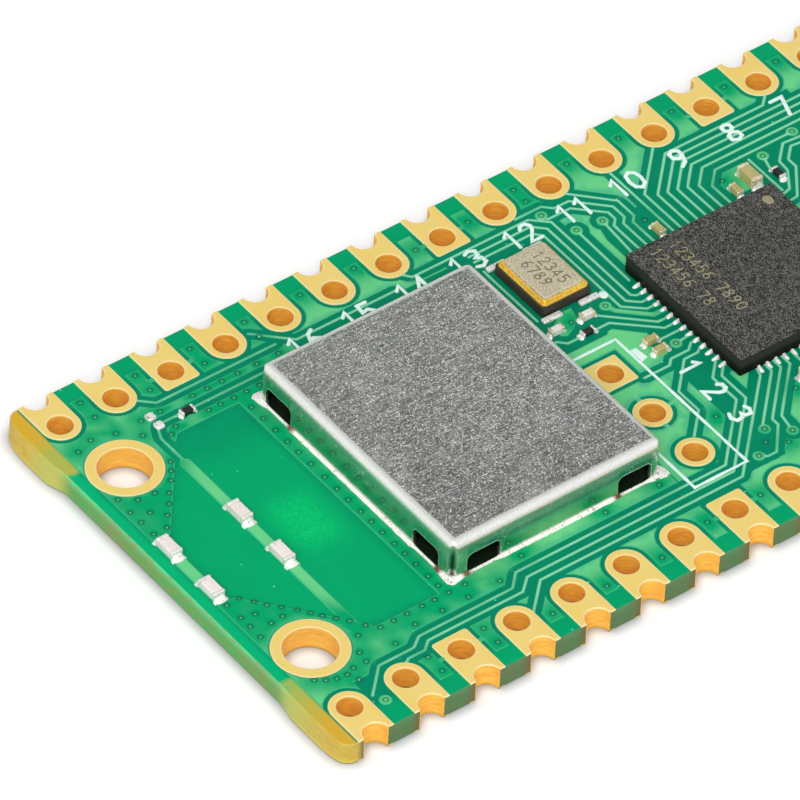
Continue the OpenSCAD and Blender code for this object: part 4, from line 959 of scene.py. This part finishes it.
def platedPads(outline, ring, hole, spots, turn=0, boreMark=1.0):
    # section rows run from the bore's foot along both plates: each row lies on the bore's circle or on the
    # outline moved in by an inset, at its own height
    outline, normal, ring = np.split(evenly(np.column_stack([outline, sideways(outline), ring]), 0.13), 3, 1)
    ring = ring / np.linalg.norm(ring, axis=1)[:, None]
    top, thick, edge = plating["top"], plating["plate"], plating["round"]
    wall, low = hole + plating["wall"], board["bare"] - 0.02
    # on the ring or the line, its radius or inset, height, rim and bore
    sections = [("ring", hole, 0.0, 0, 1), ("line", 0.02, 0.0, 0, 0), ("line", 0.0, 0.012, 0, 0),
                ("line", 0.0, thick, 0, 0), ("ring", wall, thick, 0, 0), ("ring", wall, low, 0, 0),
                ("line", 0.0, low, 1, 0), ("line", 0.0, top - 0.6 * edge, 1, 0),
                ("line", 0.3 * edge, top - 0.15 * edge, 1, 0), ("line", edge, top, 0.9, 0),
                ("line", 1.5 * edge, top, 0, 0), ("ring", hole + 1.6 * edge, top, 0, 0),
                ("ring", hole + edge, top, 0.7, 0), ("ring", hole + 0.3 * edge, top - 0.3 * edge, 1, 0),
                ("ring", hole, top - edge, 0.3, 0.6), ("ring", hole, top - 2.2 * edge, 0, 1),
                ("ring", hole, 0.5, 0, 1)]
    flat = np.array([ring * size if kind == "ring" else outline - size * normal
                     for kind, size, *rest in sections])
    c, s = math.cos(math.radians(turn)), math.sin(math.radians(turn))
    flat = flat @ [[c, s], [-s, c]] + np.asarray(spots)[:, None, None]
    rest = np.array([section[2:] for section in sections]) * (1, 1, boreMark)
    points = np.concatenate([flat, np.broadcast_to(rest[:, None], flat.shape[:-1] + (3,))], -1)
    return points.reshape(-1, 5), [gridFaces(len(sections), len(ring), True, True, len(spots))]


def halfHoles(side):
    # plating of the half holes: a thin section carried through a half turn about points on the board's edge
    inner, top, bore = plating["halfHole"], plating["top"], plating["halfBore"]
    outer = inner + plating["wall"]
    # radius, height, rim and bore of each row
    section = np.array([(inner, 0.0, 0, bore), (inner, 0.5, 0, bore), (inner, top - 0.05, 0.2, bore),
                        (inner + 0.012, top - 0.012, 1, bore), (outer, top, 1, bore), (outer, 0.0, 0, bore)])
    turn = np.radians(np.linspace(-90, 90, 15))[:, None]
    flat = np.stack([side * (halfWidth - section[:, 0] * np.cos(turn)), section[:, 0] * np.sin(turn)], -1)
    flat = flat + np.stack([np.zeros(len(pinYs)), pinYs], 1)[:, None, None]
    points = np.concatenate([flat, np.broadcast_to(section[:, 1:], flat.shape[:-1] + (3,))], -1)
    return points.reshape(-1, 5), tubeFaces(len(turn), len(section), len(pinYs))


def goldPieces():
    # both rows of edge pads with their half holes, the mounting rings and the debug pads
    pinHole, half, r = plating["pinHole"], plating["debugHalf"], 0.07
    square = np.vstack([arc((x * (half - r), y * (half - r)), r, turn, turn + 90, 6)
                        for x, y, turn in ((1, -1, -90), (1, 1, 0), (-1, 1, 90), (-1, -1, 180))])
    ring, big = circle((0, 0), half, 36), circle((0, 0), plating["mountRing"], 52)
    made = []
    for side, node, turn in ((west, "left_edge_pads", 180), (east, "right_edge_pads", 0)):
        parts = []
        for isSquare in (False, True):
            spots = [(side * rowX, y) for y in pinYs[squarePin == isSquare]]
            parts.append(platedPads(*padOutline(isSquare), pinHole, spots, turn))
        made.append(("gold_" + node, node, parts + [halfHoles(side)]))
    rings = platedPads(big, big, plating["mountHole"], mountSpots, boreMark=plating["mountBore"])
    pads = [platedPads(line, line, pinHole, [spot]) for spot, line in zip(debugSpots, (square, ring, ring))]
    made += [("gold_mounting_rings", "mounting_hole_plating", [rings]),
             ("gold_debug_pads", "debug_pads", pads)]
    for name, node, parts in made:
        makePiece(name, *gather(parts), [gold], (node,), "gold_plating", crease=40, marks=("rim", "bore"))


goldPieces()
print("gold pads made")


# Shield can: one sheet, its outline carried from the flat top round the fold, down the wall and up inside

can = {"sheet": 0.2, "fold": 0.37, "corner": 0.3, "windowWide": 1.54, "windowHigh": 0.92, "windowRound": 0.25,
       "cut": 0.05, "sideWindows": (-3.4, 3.6), "endWindows": (-4.65, 4.35), "seam": 0.13, "seamTurn": 23,
       "cornerSteps": 13, "topInset": 1.2, "noCorner": 900.0}


def windowSteps(centre):
    # jamb, rounded corner, head, rounded corner and jamb of one window, with a point beside each jamb: (place
    # along the wall, height of its head, share of the cut edge)
    half, high, r = can["windowWide"] / 2, can["windowHigh"], can["windowRound"]
    turn = np.radians(np.linspace(0, 90, 6))
    left = np.stack([-half + r * (1 - np.cos(turn)), high - r + r * np.sin(turn), np.ones(6)], 1)
    left = np.vstack([[(-half - can["cut"], 0, 0), (-half, 0, 1)], left])
    return np.vstack([left, left[::-1] * (-1, 1, 1)]) + (centre, 0, 0)


def canPath():
    # corner points and directions as on a rounded rectangle, with each wall's windows between: x, y,
    # direction, height of the window's head, share of its cut edge, and degrees round the corner
    r, count = can["corner"], can["cornerSteps"]
    turn, rows = np.linspace(0, 90, count), []
    for quarter in range(4):
        facing, ahead = np.array([(1, 0), (0, 1), (-1, 0), (0, -1), (1, 0)])[quarter:quarter + 2]
        centres = np.array(can["sideWindows"] if quarter % 2 == 0 else can["endWindows"])
        centres = centres if quarter in (0, 3) else -centres[::-1]
        reach, half = np.abs(facing) @ canHalf, np.abs(ahead) @ canHalf
        steps = np.vstack([windowSteps(c) for c in centres])
        place = facing * (reach - r) + ahead * steps[:, :1]
        rows.append(np.column_stack([place, np.tile(facing, (len(steps), 1)), steps[:, 1:],
                                     np.full(len(steps), can["noCorner"])]))
        angle = quarter * np.pi / 2 + np.radians(turn)
        place = np.tile(facing * (reach - r) + ahead * (half - r), (count, 1))
        rows.append(np.column_stack([place, np.cos(angle), np.sin(angle), np.zeros((count, 2)), turn]))
    return np.concatenate(rows)


def canPiece():
    # rows of (inset, share of the seam, height, and how far each is flat top, fold with its painted highlight
    # or dark inside, a painted shade); the fold mark also paints highlights on the cut edges, the ribs and a
    # band under the fold, and the inside mark paints the seam dark as shade; the seam's depth falls off round
    # the corner as exp(-turn^2), between two ribs with a painted highlight
    path = canPath()
    place, normal, (head, cut, turn) = path[:, :2], path[:, 2:4], path[:, 4:].T
    seam = np.exp(-((turn - 45) / can["seamTurn"]) ** 2)
    rib = np.exp(-((turn - 7) / 8) ** 2) + np.exp(-((turn - 83) / 8) ** 2)
    top, sheet, fold, edge = canHigh[2], can["sheet"], can["fold"], can["topInset"]
    foot, bend = canLow[2] + head, top - fold
    rows = [(inset, 0, top, 1, 0, 0) for inset in (edge, fold + 0.1)]
    for t in np.linspace(0, 90, 10):
        c, s = math.cos(math.radians(t)), math.sin(math.radians(t))
        rows.append((fold * (1 - s), max(0, t / 40 - 1.25), top - fold * (1 - c), max(0, 1 - t / 10),
                     min(1, t / 8) * np.clip((108 - t) / 58, 0, 1), 0))
    for share in (0.25, 0.6, 0.85, 1.0):
        # painted highlight on the cut edges, the ribs either side of the seam and the top of the wall;
        # painted shade in the seam
        bright = 0.8 * cut * np.where(head > 0, share == 1, share > 0.5) + 0.5 * rib + 0.16 * (share < 0.3)
        rows.append((0, 1, bend * (1 - share) + foot * share, 0, bright, 0.9 * seam))
    # the inner face is painted dark as shade
    rows += [(sheet, 0, bend * (1 - share) + foot * share, 0, 0, share < 1)
             for share in (1.0, 0.95, 0.5, 0.0)]
    rows += [(inset, 0, top - sheet, 0, 0, 1) for inset in (fold + 0.1, edge)]
    points = []
    for inset, share, *rest in rows:
        # past the corner's radius a row is drawn square
        out = (can["corner"] - inset - share * can["seam"] * seam)[:, None]
        flat = np.clip(place + out * normal, inset - canHalf, canHalf - inset)
        points.append(np.column_stack([flat + canMiddle]
                                      + [np.broadcast_to(value, len(head)) for value in rest]))
    makePiece("shield_can_sheet", np.concatenate(points), tubeFaces(len(rows), len(head)), [canSheet],
              ("shield_can",), "can_sheet", crease=25, marks=("flat", "fold", "inside"))


canPiece()

fillet = {"reach": 0.16, "rise": 0.1, "atWindow": 0.6, "atCorner": 0.9, "flux": 0.2, "reachWander": 0.03,
          "riseWander": 0.035, "grain": 0.25}


def solderFoot():
    # hollow fillet carried round the can's foot: its reach and rise wander slowly along the path and shrink
    # in front of the windows, and its outer edge runs square round the corners
    r, wide = can["corner"], can["windowWide"]
    unit, sign = roundedCorners(6)
    ring = sign * (canHalf - r) + r * unit
    share = np.linspace(0, 1, 60, endpoint=False)[:, None]
    path = np.concatenate([a + share * (b - a) if np.linalg.norm(b - a) > 1 else a[None]
                           for a, b in zip(ring, np.roll(ring, -1, 0))])
    along = np.linspace(0, 2 * np.pi, len(path), endpoint=False)
    wave = sum(np.sin(along * k + chance.uniform(0, 6.28)) / k ** 0.5 for k in (5, 9, 14, 23, 31, 43, 57)) / 3
    windows = [(side * canHalf[0], y) for side in (east, west) for y in can["sideWindows"]]
    windows += [(side * x, side * -canHalf[1]) for side in (east, west) for x in can["endWindows"]]
    thin = fillet["atWindow"] + (1 - fillet["atWindow"]) * smooth((spotField(path, windows) - 0.5) / 0.35)
    normal = sideways(path)
    normal = normal / np.linalg.norm(normal, axis=1)[:, None]
    atCorner = np.exp(-(np.linalg.norm(np.abs(path) - canHalf, axis=1) / 0.45) ** 2)
    reach = (fillet["reach"] + fillet["reachWander"] * wave) * thin * (1 + fillet["atCorner"] * atCorner)
    reach = (r + reach) / np.abs(normal).max(1) - r
    rise = (fillet["rise"] + fillet["riseWander"] * np.roll(wave, 7)) * thin
    jambs = [(x + wide / 2, -canHalf[1]) for x in can["endWindows"]]
    jambs += [(canHalf[0], y - wide / 2) for y in can["sideWindows"]]
    flux = smooth(1.4 - spotField(path, jambs) / fillet["flux"])
    # section of (share of the reach, share of the rise), hollow on top as (1 - v)^2
    section = [(v, (1 - v) ** 2) for v in np.linspace(0, 1, 6)] + [(1.0, -0.2), (-0.25, -0.2), (-0.25, 0.9)]
    grains = 1 + fillet["grain"] * chance.standard_normal((len(section), len(path)))
    rows = []
    for k, (out, up) in enumerate(section):
        height = canLow[2] + 0.012 + rise * up * (grains[k] if 0 < k < 5 else 1)
        rows.append(np.column_stack([path + canMiddle + (reach * out)[:, None] * normal, height, flux]))
    makePiece("shield_solder_fillet", np.concatenate(rows), [gridFaces(len(section), len(path), True)],
              [footSolder], ("shield_solder",), "solder", crease=60, marks=("flux",))


solderFoot()
print("shield can and its solder made")


# Chips and their solder, each from its own box in the frame

def endDirections(bodies, ends):
    # for each end its nearest body, the axis on which it lies and to which side
    for low, high in ends:
        away = ((low + high) / 2 - bodies.mean(1))[:, :2]
        nearest = np.argmin(np.linalg.norm(away, axis=1))
        axis = int(abs(away[nearest, 1]) > abs(away[nearest, 0]))
        yield nearest, axis, 1 if away[nearest, axis] > 0 else -1


def narrowed(bodies, ends, share):
    # each end's inner face moves out by a share of its length and the body grows to meet it
    bodies, ends = bodies.copy(), ends.copy()
    for end, (nearest, axis, sign) in zip(ends, list(endDirections(bodies, ends))):
        inner, outer = (0, 1) if sign > 0 else (1, 0)
        end[inner, axis] += share * (end[outer, axis] - end[inner, axis])
        bodies[nearest, outer, axis] = end[inner, axis]
    return bodies, ends


def solderedEnds(bodies, ends, reach, rise):
    # a fillet on the outer face of each end: it heads away from the nearest body
    spots = []
    for (low, high), (nearest, axis, sign) in zip(ends, endDirections(bodies, ends)):
        size, face = high - low, (low + high)[:2] / 2
        face[axis] += sign * (size[axis] / 2 - 0.02)
        heading = 90 * axis if sign > 0 else 180 + 90 * axis
        spots.append((*face, heading, size[1 - axis] * 1.12, reach, size[2] * rise, low[2] - 0.02))
    return lumps(spots)


# kind, ending of its bodies' node, looks of body and ends, slot, and the reach and rise of its fillets
chipKinds = [("capacitor", "_bodies", tanCeramic, creamEnds, "tan_ceramic", 0.24, 0.6),
             ("load_capacitor", "_bodies", paleCeramic, creamEnds, "white_ceramic", 0.2, 0.7),
             ("resistor", "_bodies", blackGlaze, tinned, "resistor_glaze", 0.2, 0.7),
             ("antenna_part", "_bodies", pinkCeramic, tinned, "white_ceramic", 0.36, 0.7),
             ("feed_part", "_body", blackGlaze, tinned, "resistor_glaze", 0.14, 0.7)]
for kind, ending, look, endLook, slotName, reach, rise in chipKinds:
    bodies, ends = narrowed(solidBoxes(kind + ending), solidBoxes(kind + "_ends"), 0.35)
    makePiece(kind + "_ceramic", *boxSlabs(bodies, 0.035, -0.012), [look], (kind + ending,), slotName)
    makePiece(kind + "_caps", *boxSlabs(ends, 0.05, 0.008), [endLook], (kind + "_ends",), "chip_ends")
    makePiece(kind + "_fillets", *solderedEnds(bodies, ends, reach, rise), [solder], (), "solder", crease=60)
makePiece("feed_solder_lumps", *boxSlabs(solidBoxes("feed_solder"), 0.07, 0.02, corner=0.1), [solder],
          ("feed_solder",), "solder")
print("chip parts made")

crystal = {"ledge": 0.08, "ledgeHigh": 1.53, "ringHigh": 1.62, "baseInset": 0.09}


def crystalPieces():
    # rounded slabs: a ceramic base set in under its gold ring, the ring in two steps, and the lid
    (ringLow, ringHigh), baseBox, level = boxOf("crystal_ring"), boxOf("crystal_base"), np.array([1, 1, 0])
    base = baseBox + np.array([[1], [-1]]) * level * crystal["baseInset"]
    ledge = (ringLow, np.array([*ringHigh[:2], crystal["ledgeHigh"]]))
    step = level * crystal["ledge"]
    ring = (ringLow + step, np.array([*(ringHigh - step)[:2], crystal["ringHigh"]]))
    for node, boxes, look, slotName, edge, corner in (
            ("crystal_base", [base], brownCeramic, "crystal_ceramic", 0.03, 0.14),
            ("crystal_ring", [ledge, ring], sealGold, "crystal_gold", 0.035, 0.2),
            ("crystal_lid", [boxOf("crystal_lid")], lidMetal, "crystal_lid_metal", 0.06, 0.22)):
        makePiece(node + "_body", *boxSlabs(boxes, edge, corner=corner, steps=7), [look], (node,), slotName)
    makePiece("crystal_solder_feet", *boxSlabs(solidBoxes("crystal_solder"), 0.05, 0.025, corner=0.07),
              [solder], ("crystal_solder",), "solder")


crystalPieces()

leadSolder = {"width": 0.18, "reach": 0.32, "height": 0.13, "sunk": 0.02}


def processorPieces():
    # a slab with sawn sides, and a fillet at each lead that shows past them
    body = boxOf("mcu_body")
    piece = makePiece("processor_body", *boxSlabs([body], 0.03, corner=0.08), [processorMould, sawnMould],
                      ("mcu_body",), "processor_mould")
    sideLook(piece, 0.6, body[1, 2])
    spots = []
    for lead in solidBoxes("mcu_leads"):
        face = lead.mean(0)
        above, below = lead[1] - body[1], body[0] - lead[0]
        past = [above[0], below[0], above[1], below[1]]
        side = int(np.argmax(past))
        if past[side] > 0:
            face[side // 2] = body[1 - side % 2, side // 2]
            spots.append((*face[:2], (0, 180, 90, -90)[side], leadSolder["width"], leadSolder["reach"],
                          leadSolder["height"], lead[0, 2] - leadSolder["sunk"]))
    makePiece("processor_lead_solder", *lumps(spots, across=6, hollow=0.9, ripple=0.1), [solder],
              ("mcu_leads",), "tinned_leads", crease=60)


processorPieces()
print("crystal and processor made")


# Printed marks: plain counting numbers drawn with a round pen, each digit one wide and 1.6 high

strokes = {
    "0": [[(0.5, 1.6), (0.15, 1.35), (0.05, 0.8), (0.15, 0.25), (0.5, 0), (0.85, 0.25), (0.95, 0.8),
           (0.85, 1.35), (0.5, 1.6)]],
    "1": [[(0.2, 1.25), (0.55, 1.6), (0.55, 0)]],
    "2": [[(0.1, 1.25), (0.3, 1.55), (0.7, 1.55), (0.9, 1.25), (0.8, 0.9), (0.1, 0), (0.95, 0)]],
    "3": [[(0.1, 1.45), (0.45, 1.6), (0.85, 1.4), (0.8, 1.0), (0.45, 0.85), (0.85, 0.7), (0.9, 0.25),
           (0.5, 0), (0.1, 0.15)]],
    "4": [[(0.7, 0), (0.7, 1.6)], [(0.68, 1.55), (0.05, 0.45), (0.95, 0.45)]],
    "5": [[(0.85, 1.6), (0.2, 1.6), (0.15, 0.9), (0.6, 1.0), (0.9, 0.7), (0.8, 0.2), (0.45, 0), (0.1, 0.15)]],
    "6": [[(0.5, 0), (0.85, 0.2), (0.85, 0.65), (0.5, 0.85), (0.15, 0.6), (0.15, 0.2), (0.5, 0)],
          [(0.8, 1.55), (0.4, 1.3), (0.15, 0.6)]],
    "7": [[(0.05, 1.6), (0.95, 1.6), (0.4, 0)]],
    "8": [[(0.5, 0.88), (0.8, 1.1), (0.8, 1.45), (0.5, 1.6), (0.2, 1.45), (0.2, 1.1), (0.5, 0.88)],
          [(0.5, 0), (0.88, 0.2), (0.88, 0.6), (0.5, 0.84), (0.12, 0.6), (0.12, 0.2), (0.5, 0)]],
    "9": [[(0.5, 0.75), (0.85, 0.95), (0.85, 1.4), (0.5, 1.6), (0.15, 1.4), (0.15, 0.95), (0.5, 0.75)],
          [(0.85, 1.0), (0.6, 0.3), (0.2, 0.05)]],
}


def ribbon(bar, width, low, high):
    # low section carried along a path: across it the ink stands up at both sides and lies flat between; at a
    # free end the half width falls as a quarter circle, and a path that meets itself is closed
    bar, half = np.array(bar, float), width / 2
    closed = np.allclose(bar[0], bar[-1])
    if closed:
        bar = bar[:-1]
        side, wide = sideways(bar), half * np.ones(len(bar))
    else:
        side, first, last = openSides(bar)
        turn = np.radians((30, 60, 85))
        away = half * np.sin(turn)[:, None]
        wide = half * np.concatenate([np.cos(turn[::-1]), np.ones(len(bar)), np.cos(turn)])
        bar = np.vstack([bar[0] - away[::-1] * first, bar, bar[-1] + away * last])
        side = np.vstack([np.repeat(side[:1], 3, 0), side, np.repeat(side[-1:], 3, 0)])
    section = [(-1, low), (-1, high - 0.008), (-0.8, high), (0.8, high), (1, high - 0.008), (1, low)]
    points = np.stack([raised(bar + (share * wide)[:, None] * side, z) for share, z in section], 1)
    faces = [gridFaces(len(bar), len(section), True)] if closed else tubeFaces(len(bar), len(section))
    return points.reshape(-1, 3), faces


def write(text, at, size, heading=0):
    # a row of digits: each stroke scaled to the digit's width, turned by the heading and set beside the last
    c, s = math.cos(math.radians(heading)), math.sin(math.radians(heading))
    return [(np.array(stroke) + (k * 1.35, 0)) * size @ [[c, s], [-s, c]] + at
            for k, letter in enumerate(text) for stroke in strokes.get(letter, [])]


def drawBars(name, bars, width, low, high, look, slotName):
    # each bar lies a hair above the one before, so that crossings don't share a face
    parts = [ribbon(bar, width, low, high + 0.003 * (k % 3)) for k, bar in enumerate(bars)]
    makePiece(name, *gather(parts), [look], (), slotName, crease=50)


inkMarks = {"line": 0.11, "pen": 0.15, "digit": 0.6, "low": boardTop - 0.01, "high": boardTop + 0.03,
            "numberX": -6.75, "frame": [(-0.75, -6.88), (7.17, -6.88), (7.17, -4.42), (-0.75, -4.42)],
            "dot": (-2.95, -3.3), "dotWide": 0.34,
            "patch": [(0.04, -4.34), (0.78, -4.34), (0.69, -4.02), (0.05, -4.09)], "debugAt": (1.75, -3.5),
            "debugDigit": 0.56}


def silkscreen():
    # a frame round the debug pads, a dot, a small patch, and plain numbers beside the pins and the debug pads
    low, high, digit = inkMarks["low"], inkMarks["high"], inkMarks["digit"]
    ink = {"look": whiteInk, "slotName": "white_ceramic", "low": low, "high": high}
    line = evenly(np.array(inkMarks["frame"]), 0.3)
    wander = inkMarks["line"] * np.clip(1 + 0.18 * chance.standard_normal(len(line)), 0.75, 1.6)
    drawBars("white_ink_box", [np.vstack([line, line[:1]])], wander, **ink)
    dot = np.array(inkMarks["dot"])
    drawBars("white_ink_dot", [[dot, dot + (0.06, 0)]], inkMarks["dotWide"], **ink)
    patch = np.array(inkMarks["patch"])
    inner = patch.mean(0) + 0.95 * (patch - patch.mean(0))
    rows = raised(np.stack([patch, patch, inner]), [[low], [high - 0.01], [high + 0.003]])
    makePiece("white_ink_patch", rows.reshape(-1, 3), tubeFaces(3, 4), [whiteInk], (), "white_ceramic")
    bars = []
    for pin, y in enumerate(pinYs[::-1], 1):
        if -16 < y < 22 and abs(y - 15.2) > 2.5:
            bars += write(str(pin), (inkMarks["numberX"], y - 0.65 * digit * len(str(pin))), digit, 90)
    bars += write("1 2 3", inkMarks["debugAt"], inkMarks["debugDigit"])
    drawBars("white_ink_numbers", bars, inkMarks["pen"], **ink)


silkscreen()


def chipMarks():
    # counting digits and a dot on the processor, and digits on the crystal's lid
    top = boxOf("mcu_body")[1, 2]
    bars = write("123456 7890", (-3.02, -0.2), 0.3) + write("123456 78", (-3.09, -1.05), 0.3)
    dot = [[(-2.83, 4.45), (-2.77, 4.45)]]
    for name, lines, pen in (("processor_marks", bars, 0.052), ("processor_dot", dot, 0.46)):
        drawBars(name, lines, pen, top - 0.01, top + 0.002, laserMark, "processor_mould")
    (left, south, _), (_, _, top) = boxOf("crystal_lid")
    bars = write("12345", (left + 0.42, south + 1.05), 0.29) + write("6789", (left + 0.57, south + 0.4), 0.29)
    drawBars("crystal_marks", bars, 0.06, top - 0.01, top + 0.003, darkMark, "crystal_lid_metal")


chipMarks()
print("printed marks made")


# Looks of the nodes that keep their solid

nodeLooks = {
    blackMould: ["radio_chip", "flash_body", "regulator_body", "diode_body", "transistor_body"],
    lidMetal: ["radio_crystal"], tanCeramic: ["radio_part_bodies"],
    tinned: ["radio_part_ends", "flash_leads", "regulator_leads", "diode_leads", "transistor_leads",
             "inductor_ends", "button_terminals"],
    ferrite: ["inductor_body"], socketSteel: ["usb_shell"], socketMould: ["usb_housing", "button_base"],
    contactGold: ["usb_contacts", "led_ends"], buttonSteel: ["button_cover", "button_dome"],
    ivory: ["button_plunger"], paleCeramic: ["led_base"], lensEpoxy: ["led_lens"],
}
for look, names in nodeLooks.items():
    for name in names:
        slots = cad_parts[name].data.materials
        slots.clear()
        slots.append(look)
print("kept nodes finished")


# Floor, light and camera

paper = {"shade": "#DDDDE1", "light": "#E6E6EA", "seen": "#DADADA", "fibre": 3.0, "contactShadeReach": 0.5,
         "lift": 0.33, "half": 2000, "under": -0.01}


def floorLook():
    # matte white paper sweep: white to the camera, and still takes the object's shadow; a painted contact
    # shadow from ambient occlusion darkens its colour and its lift where the board lies close over it
    look, shader, add, place = newLook("matte_white_paper", {"Roughness": 0.9, "Specular IOR Level": 0.1,
                                                             "Emission Color": "#FFFFFF"})
    fibre = add("TexNoise", {"Scale": 1 / (paper["fibre"] * mm), "Detail": 3.0, "Vector": place})
    shade = add("Mix", {"data_type": "RGBA", 0: fibre, 6: paper["shade"], 7: paper["light"]}, 2)
    camera = add("LightPath", out="Is Camera Ray")
    close = add("AmbientOcclusion", {"Color": paper["seen"], "Distance": paper["contactShadeReach"] * mm,
                                     "samples": 16})
    seen = add("Mix", {"data_type": "RGBA", 0: camera, 6: shade, 7: close}, 2)
    clear = add("Math", {"operation": "MULTIPLY", 0: close.node.outputs["AO"], 1: paper["lift"]})
    lift = add("Math", {"operation": "MULTIPLY", 0: camera, 1: clear})
    dress(shader, {"Base Color": seen, "Emission Strength": lift})
    return look


def addFloor():
    # a flat sheet just under the object
    u = np.linspace(-1, 1, 21) * paper["half"]
    points = raised(np.stack(np.meshgrid(u, u, indexing="ij"), -1), paper["under"]).reshape(-1, 3)
    mesh = bpy.data.meshes.new("floor")
    mesh.from_pydata((points * mm).tolist(), [], gridFaces(21, 21, closeColumns=False).tolist())
    mesh.materials.append(floorLook())
    floor = bpy.data.objects.new("floor", mesh)
    bpy.context.scene.collection.objects.link(floor)


# A bright tent with a dim patch where flat tops mirror it, and a soft lamp on the camera's side
lighting = {"sky": 0.85, "dim": 0.42, "dimFrom": (-0.556, 0.457, 0.694), "key": 0.5, "keySize": 0.35,
            "keyFrom": (0.5, -0.48, 0.72), "keyAway": 0.6}


def addLight():
    # the tent's level follows the angle to the patch; the camera itself sees plain white
    world = bpy.data.worlds.new("studio")
    bpy.context.scene.world = world
    world.use_nodes = True
    world.node_tree.nodes.clear()
    add = partial(addNode, world.node_tree)
    facing = add("VectorMath", {"operation": "DOT_PRODUCT", 0: add("TexCoord", out="Generated"),
                                1: lighting["dimFrom"]}, "Value")
    level = add("MapRange", {"From Min": 0.55, "From Max": 0.85, "To Min": lighting["sky"],
                             "To Max": lighting["dim"], "interpolation_type": "SMOOTHSTEP", "Value": facing})
    soft, white = (add("Background", {"Color": "#FFFFFF", "Strength": strength}) for strength in (level, 1.0))
    mixed = add("MixShader", {0: add("LightPath", out="Is Camera Ray"), 1: soft, 2: white})
    add("OutputWorld", {"Surface": mixed})
    lamp = bpy.data.lights.new("soft_lamp", "AREA")
    lamp.shape = "DISK"
    lamp.size = lighting["keySize"]
    lamp.energy = lighting["key"] * math.pi ** 2 * lighting["keyAway"] ** 2
    holder = bpy.data.objects.new("soft_lamp", lamp)
    bpy.context.scene.collection.objects.link(holder)
    away = Vector(lighting["keyFrom"]).normalized()
    holder.location = away * lighting["keyAway"]
    holder.rotation_euler = (-away).to_track_quat("-Z", "Y").to_euler()


cameraPlace = {"azimuth": 50.614, "elevation": 43.955, "roll": 3.1422, "distance": 420.947,
               "target": (-2.7675, -12.9967, 1.0), "lens": 510.39, "sensor": 36}


def addCamera():
    # stands back from the target along azimuth and elevation, and is rolled about its own axis
    a, e, roll = (math.radians(cameraPlace[k]) for k in ("azimuth", "elevation", "roll"))
    back = Vector((math.sin(a) * math.cos(e), -math.cos(a) * math.cos(e), math.sin(e)))
    right = Vector((math.cos(a), math.sin(a), 0))
    up = back.cross(right)
    c, s = math.cos(roll), math.sin(roll)
    turned = Matrix((c * right + s * up, c * up - s * right, back))
    lens = bpy.data.cameras.new("camera")
    lens.sensor_width = cameraPlace["sensor"]
    lens.lens = cameraPlace["lens"]
    lens.clip_start = 0.01
    holder = bpy.data.objects.new("camera", lens)
    bpy.context.scene.collection.objects.link(holder)
    place = Vector(cameraPlace["target"]) + back * cameraPlace["distance"]
    holder.matrix_world = Matrix.Translation(place * mm) @ turned.transposed().to_4x4()
    bpy.context.scene.camera = holder


addFloor()
addLight()
addCamera()
bpy.context.scene.view_settings.view_transform = "Standard"
print("stage set")
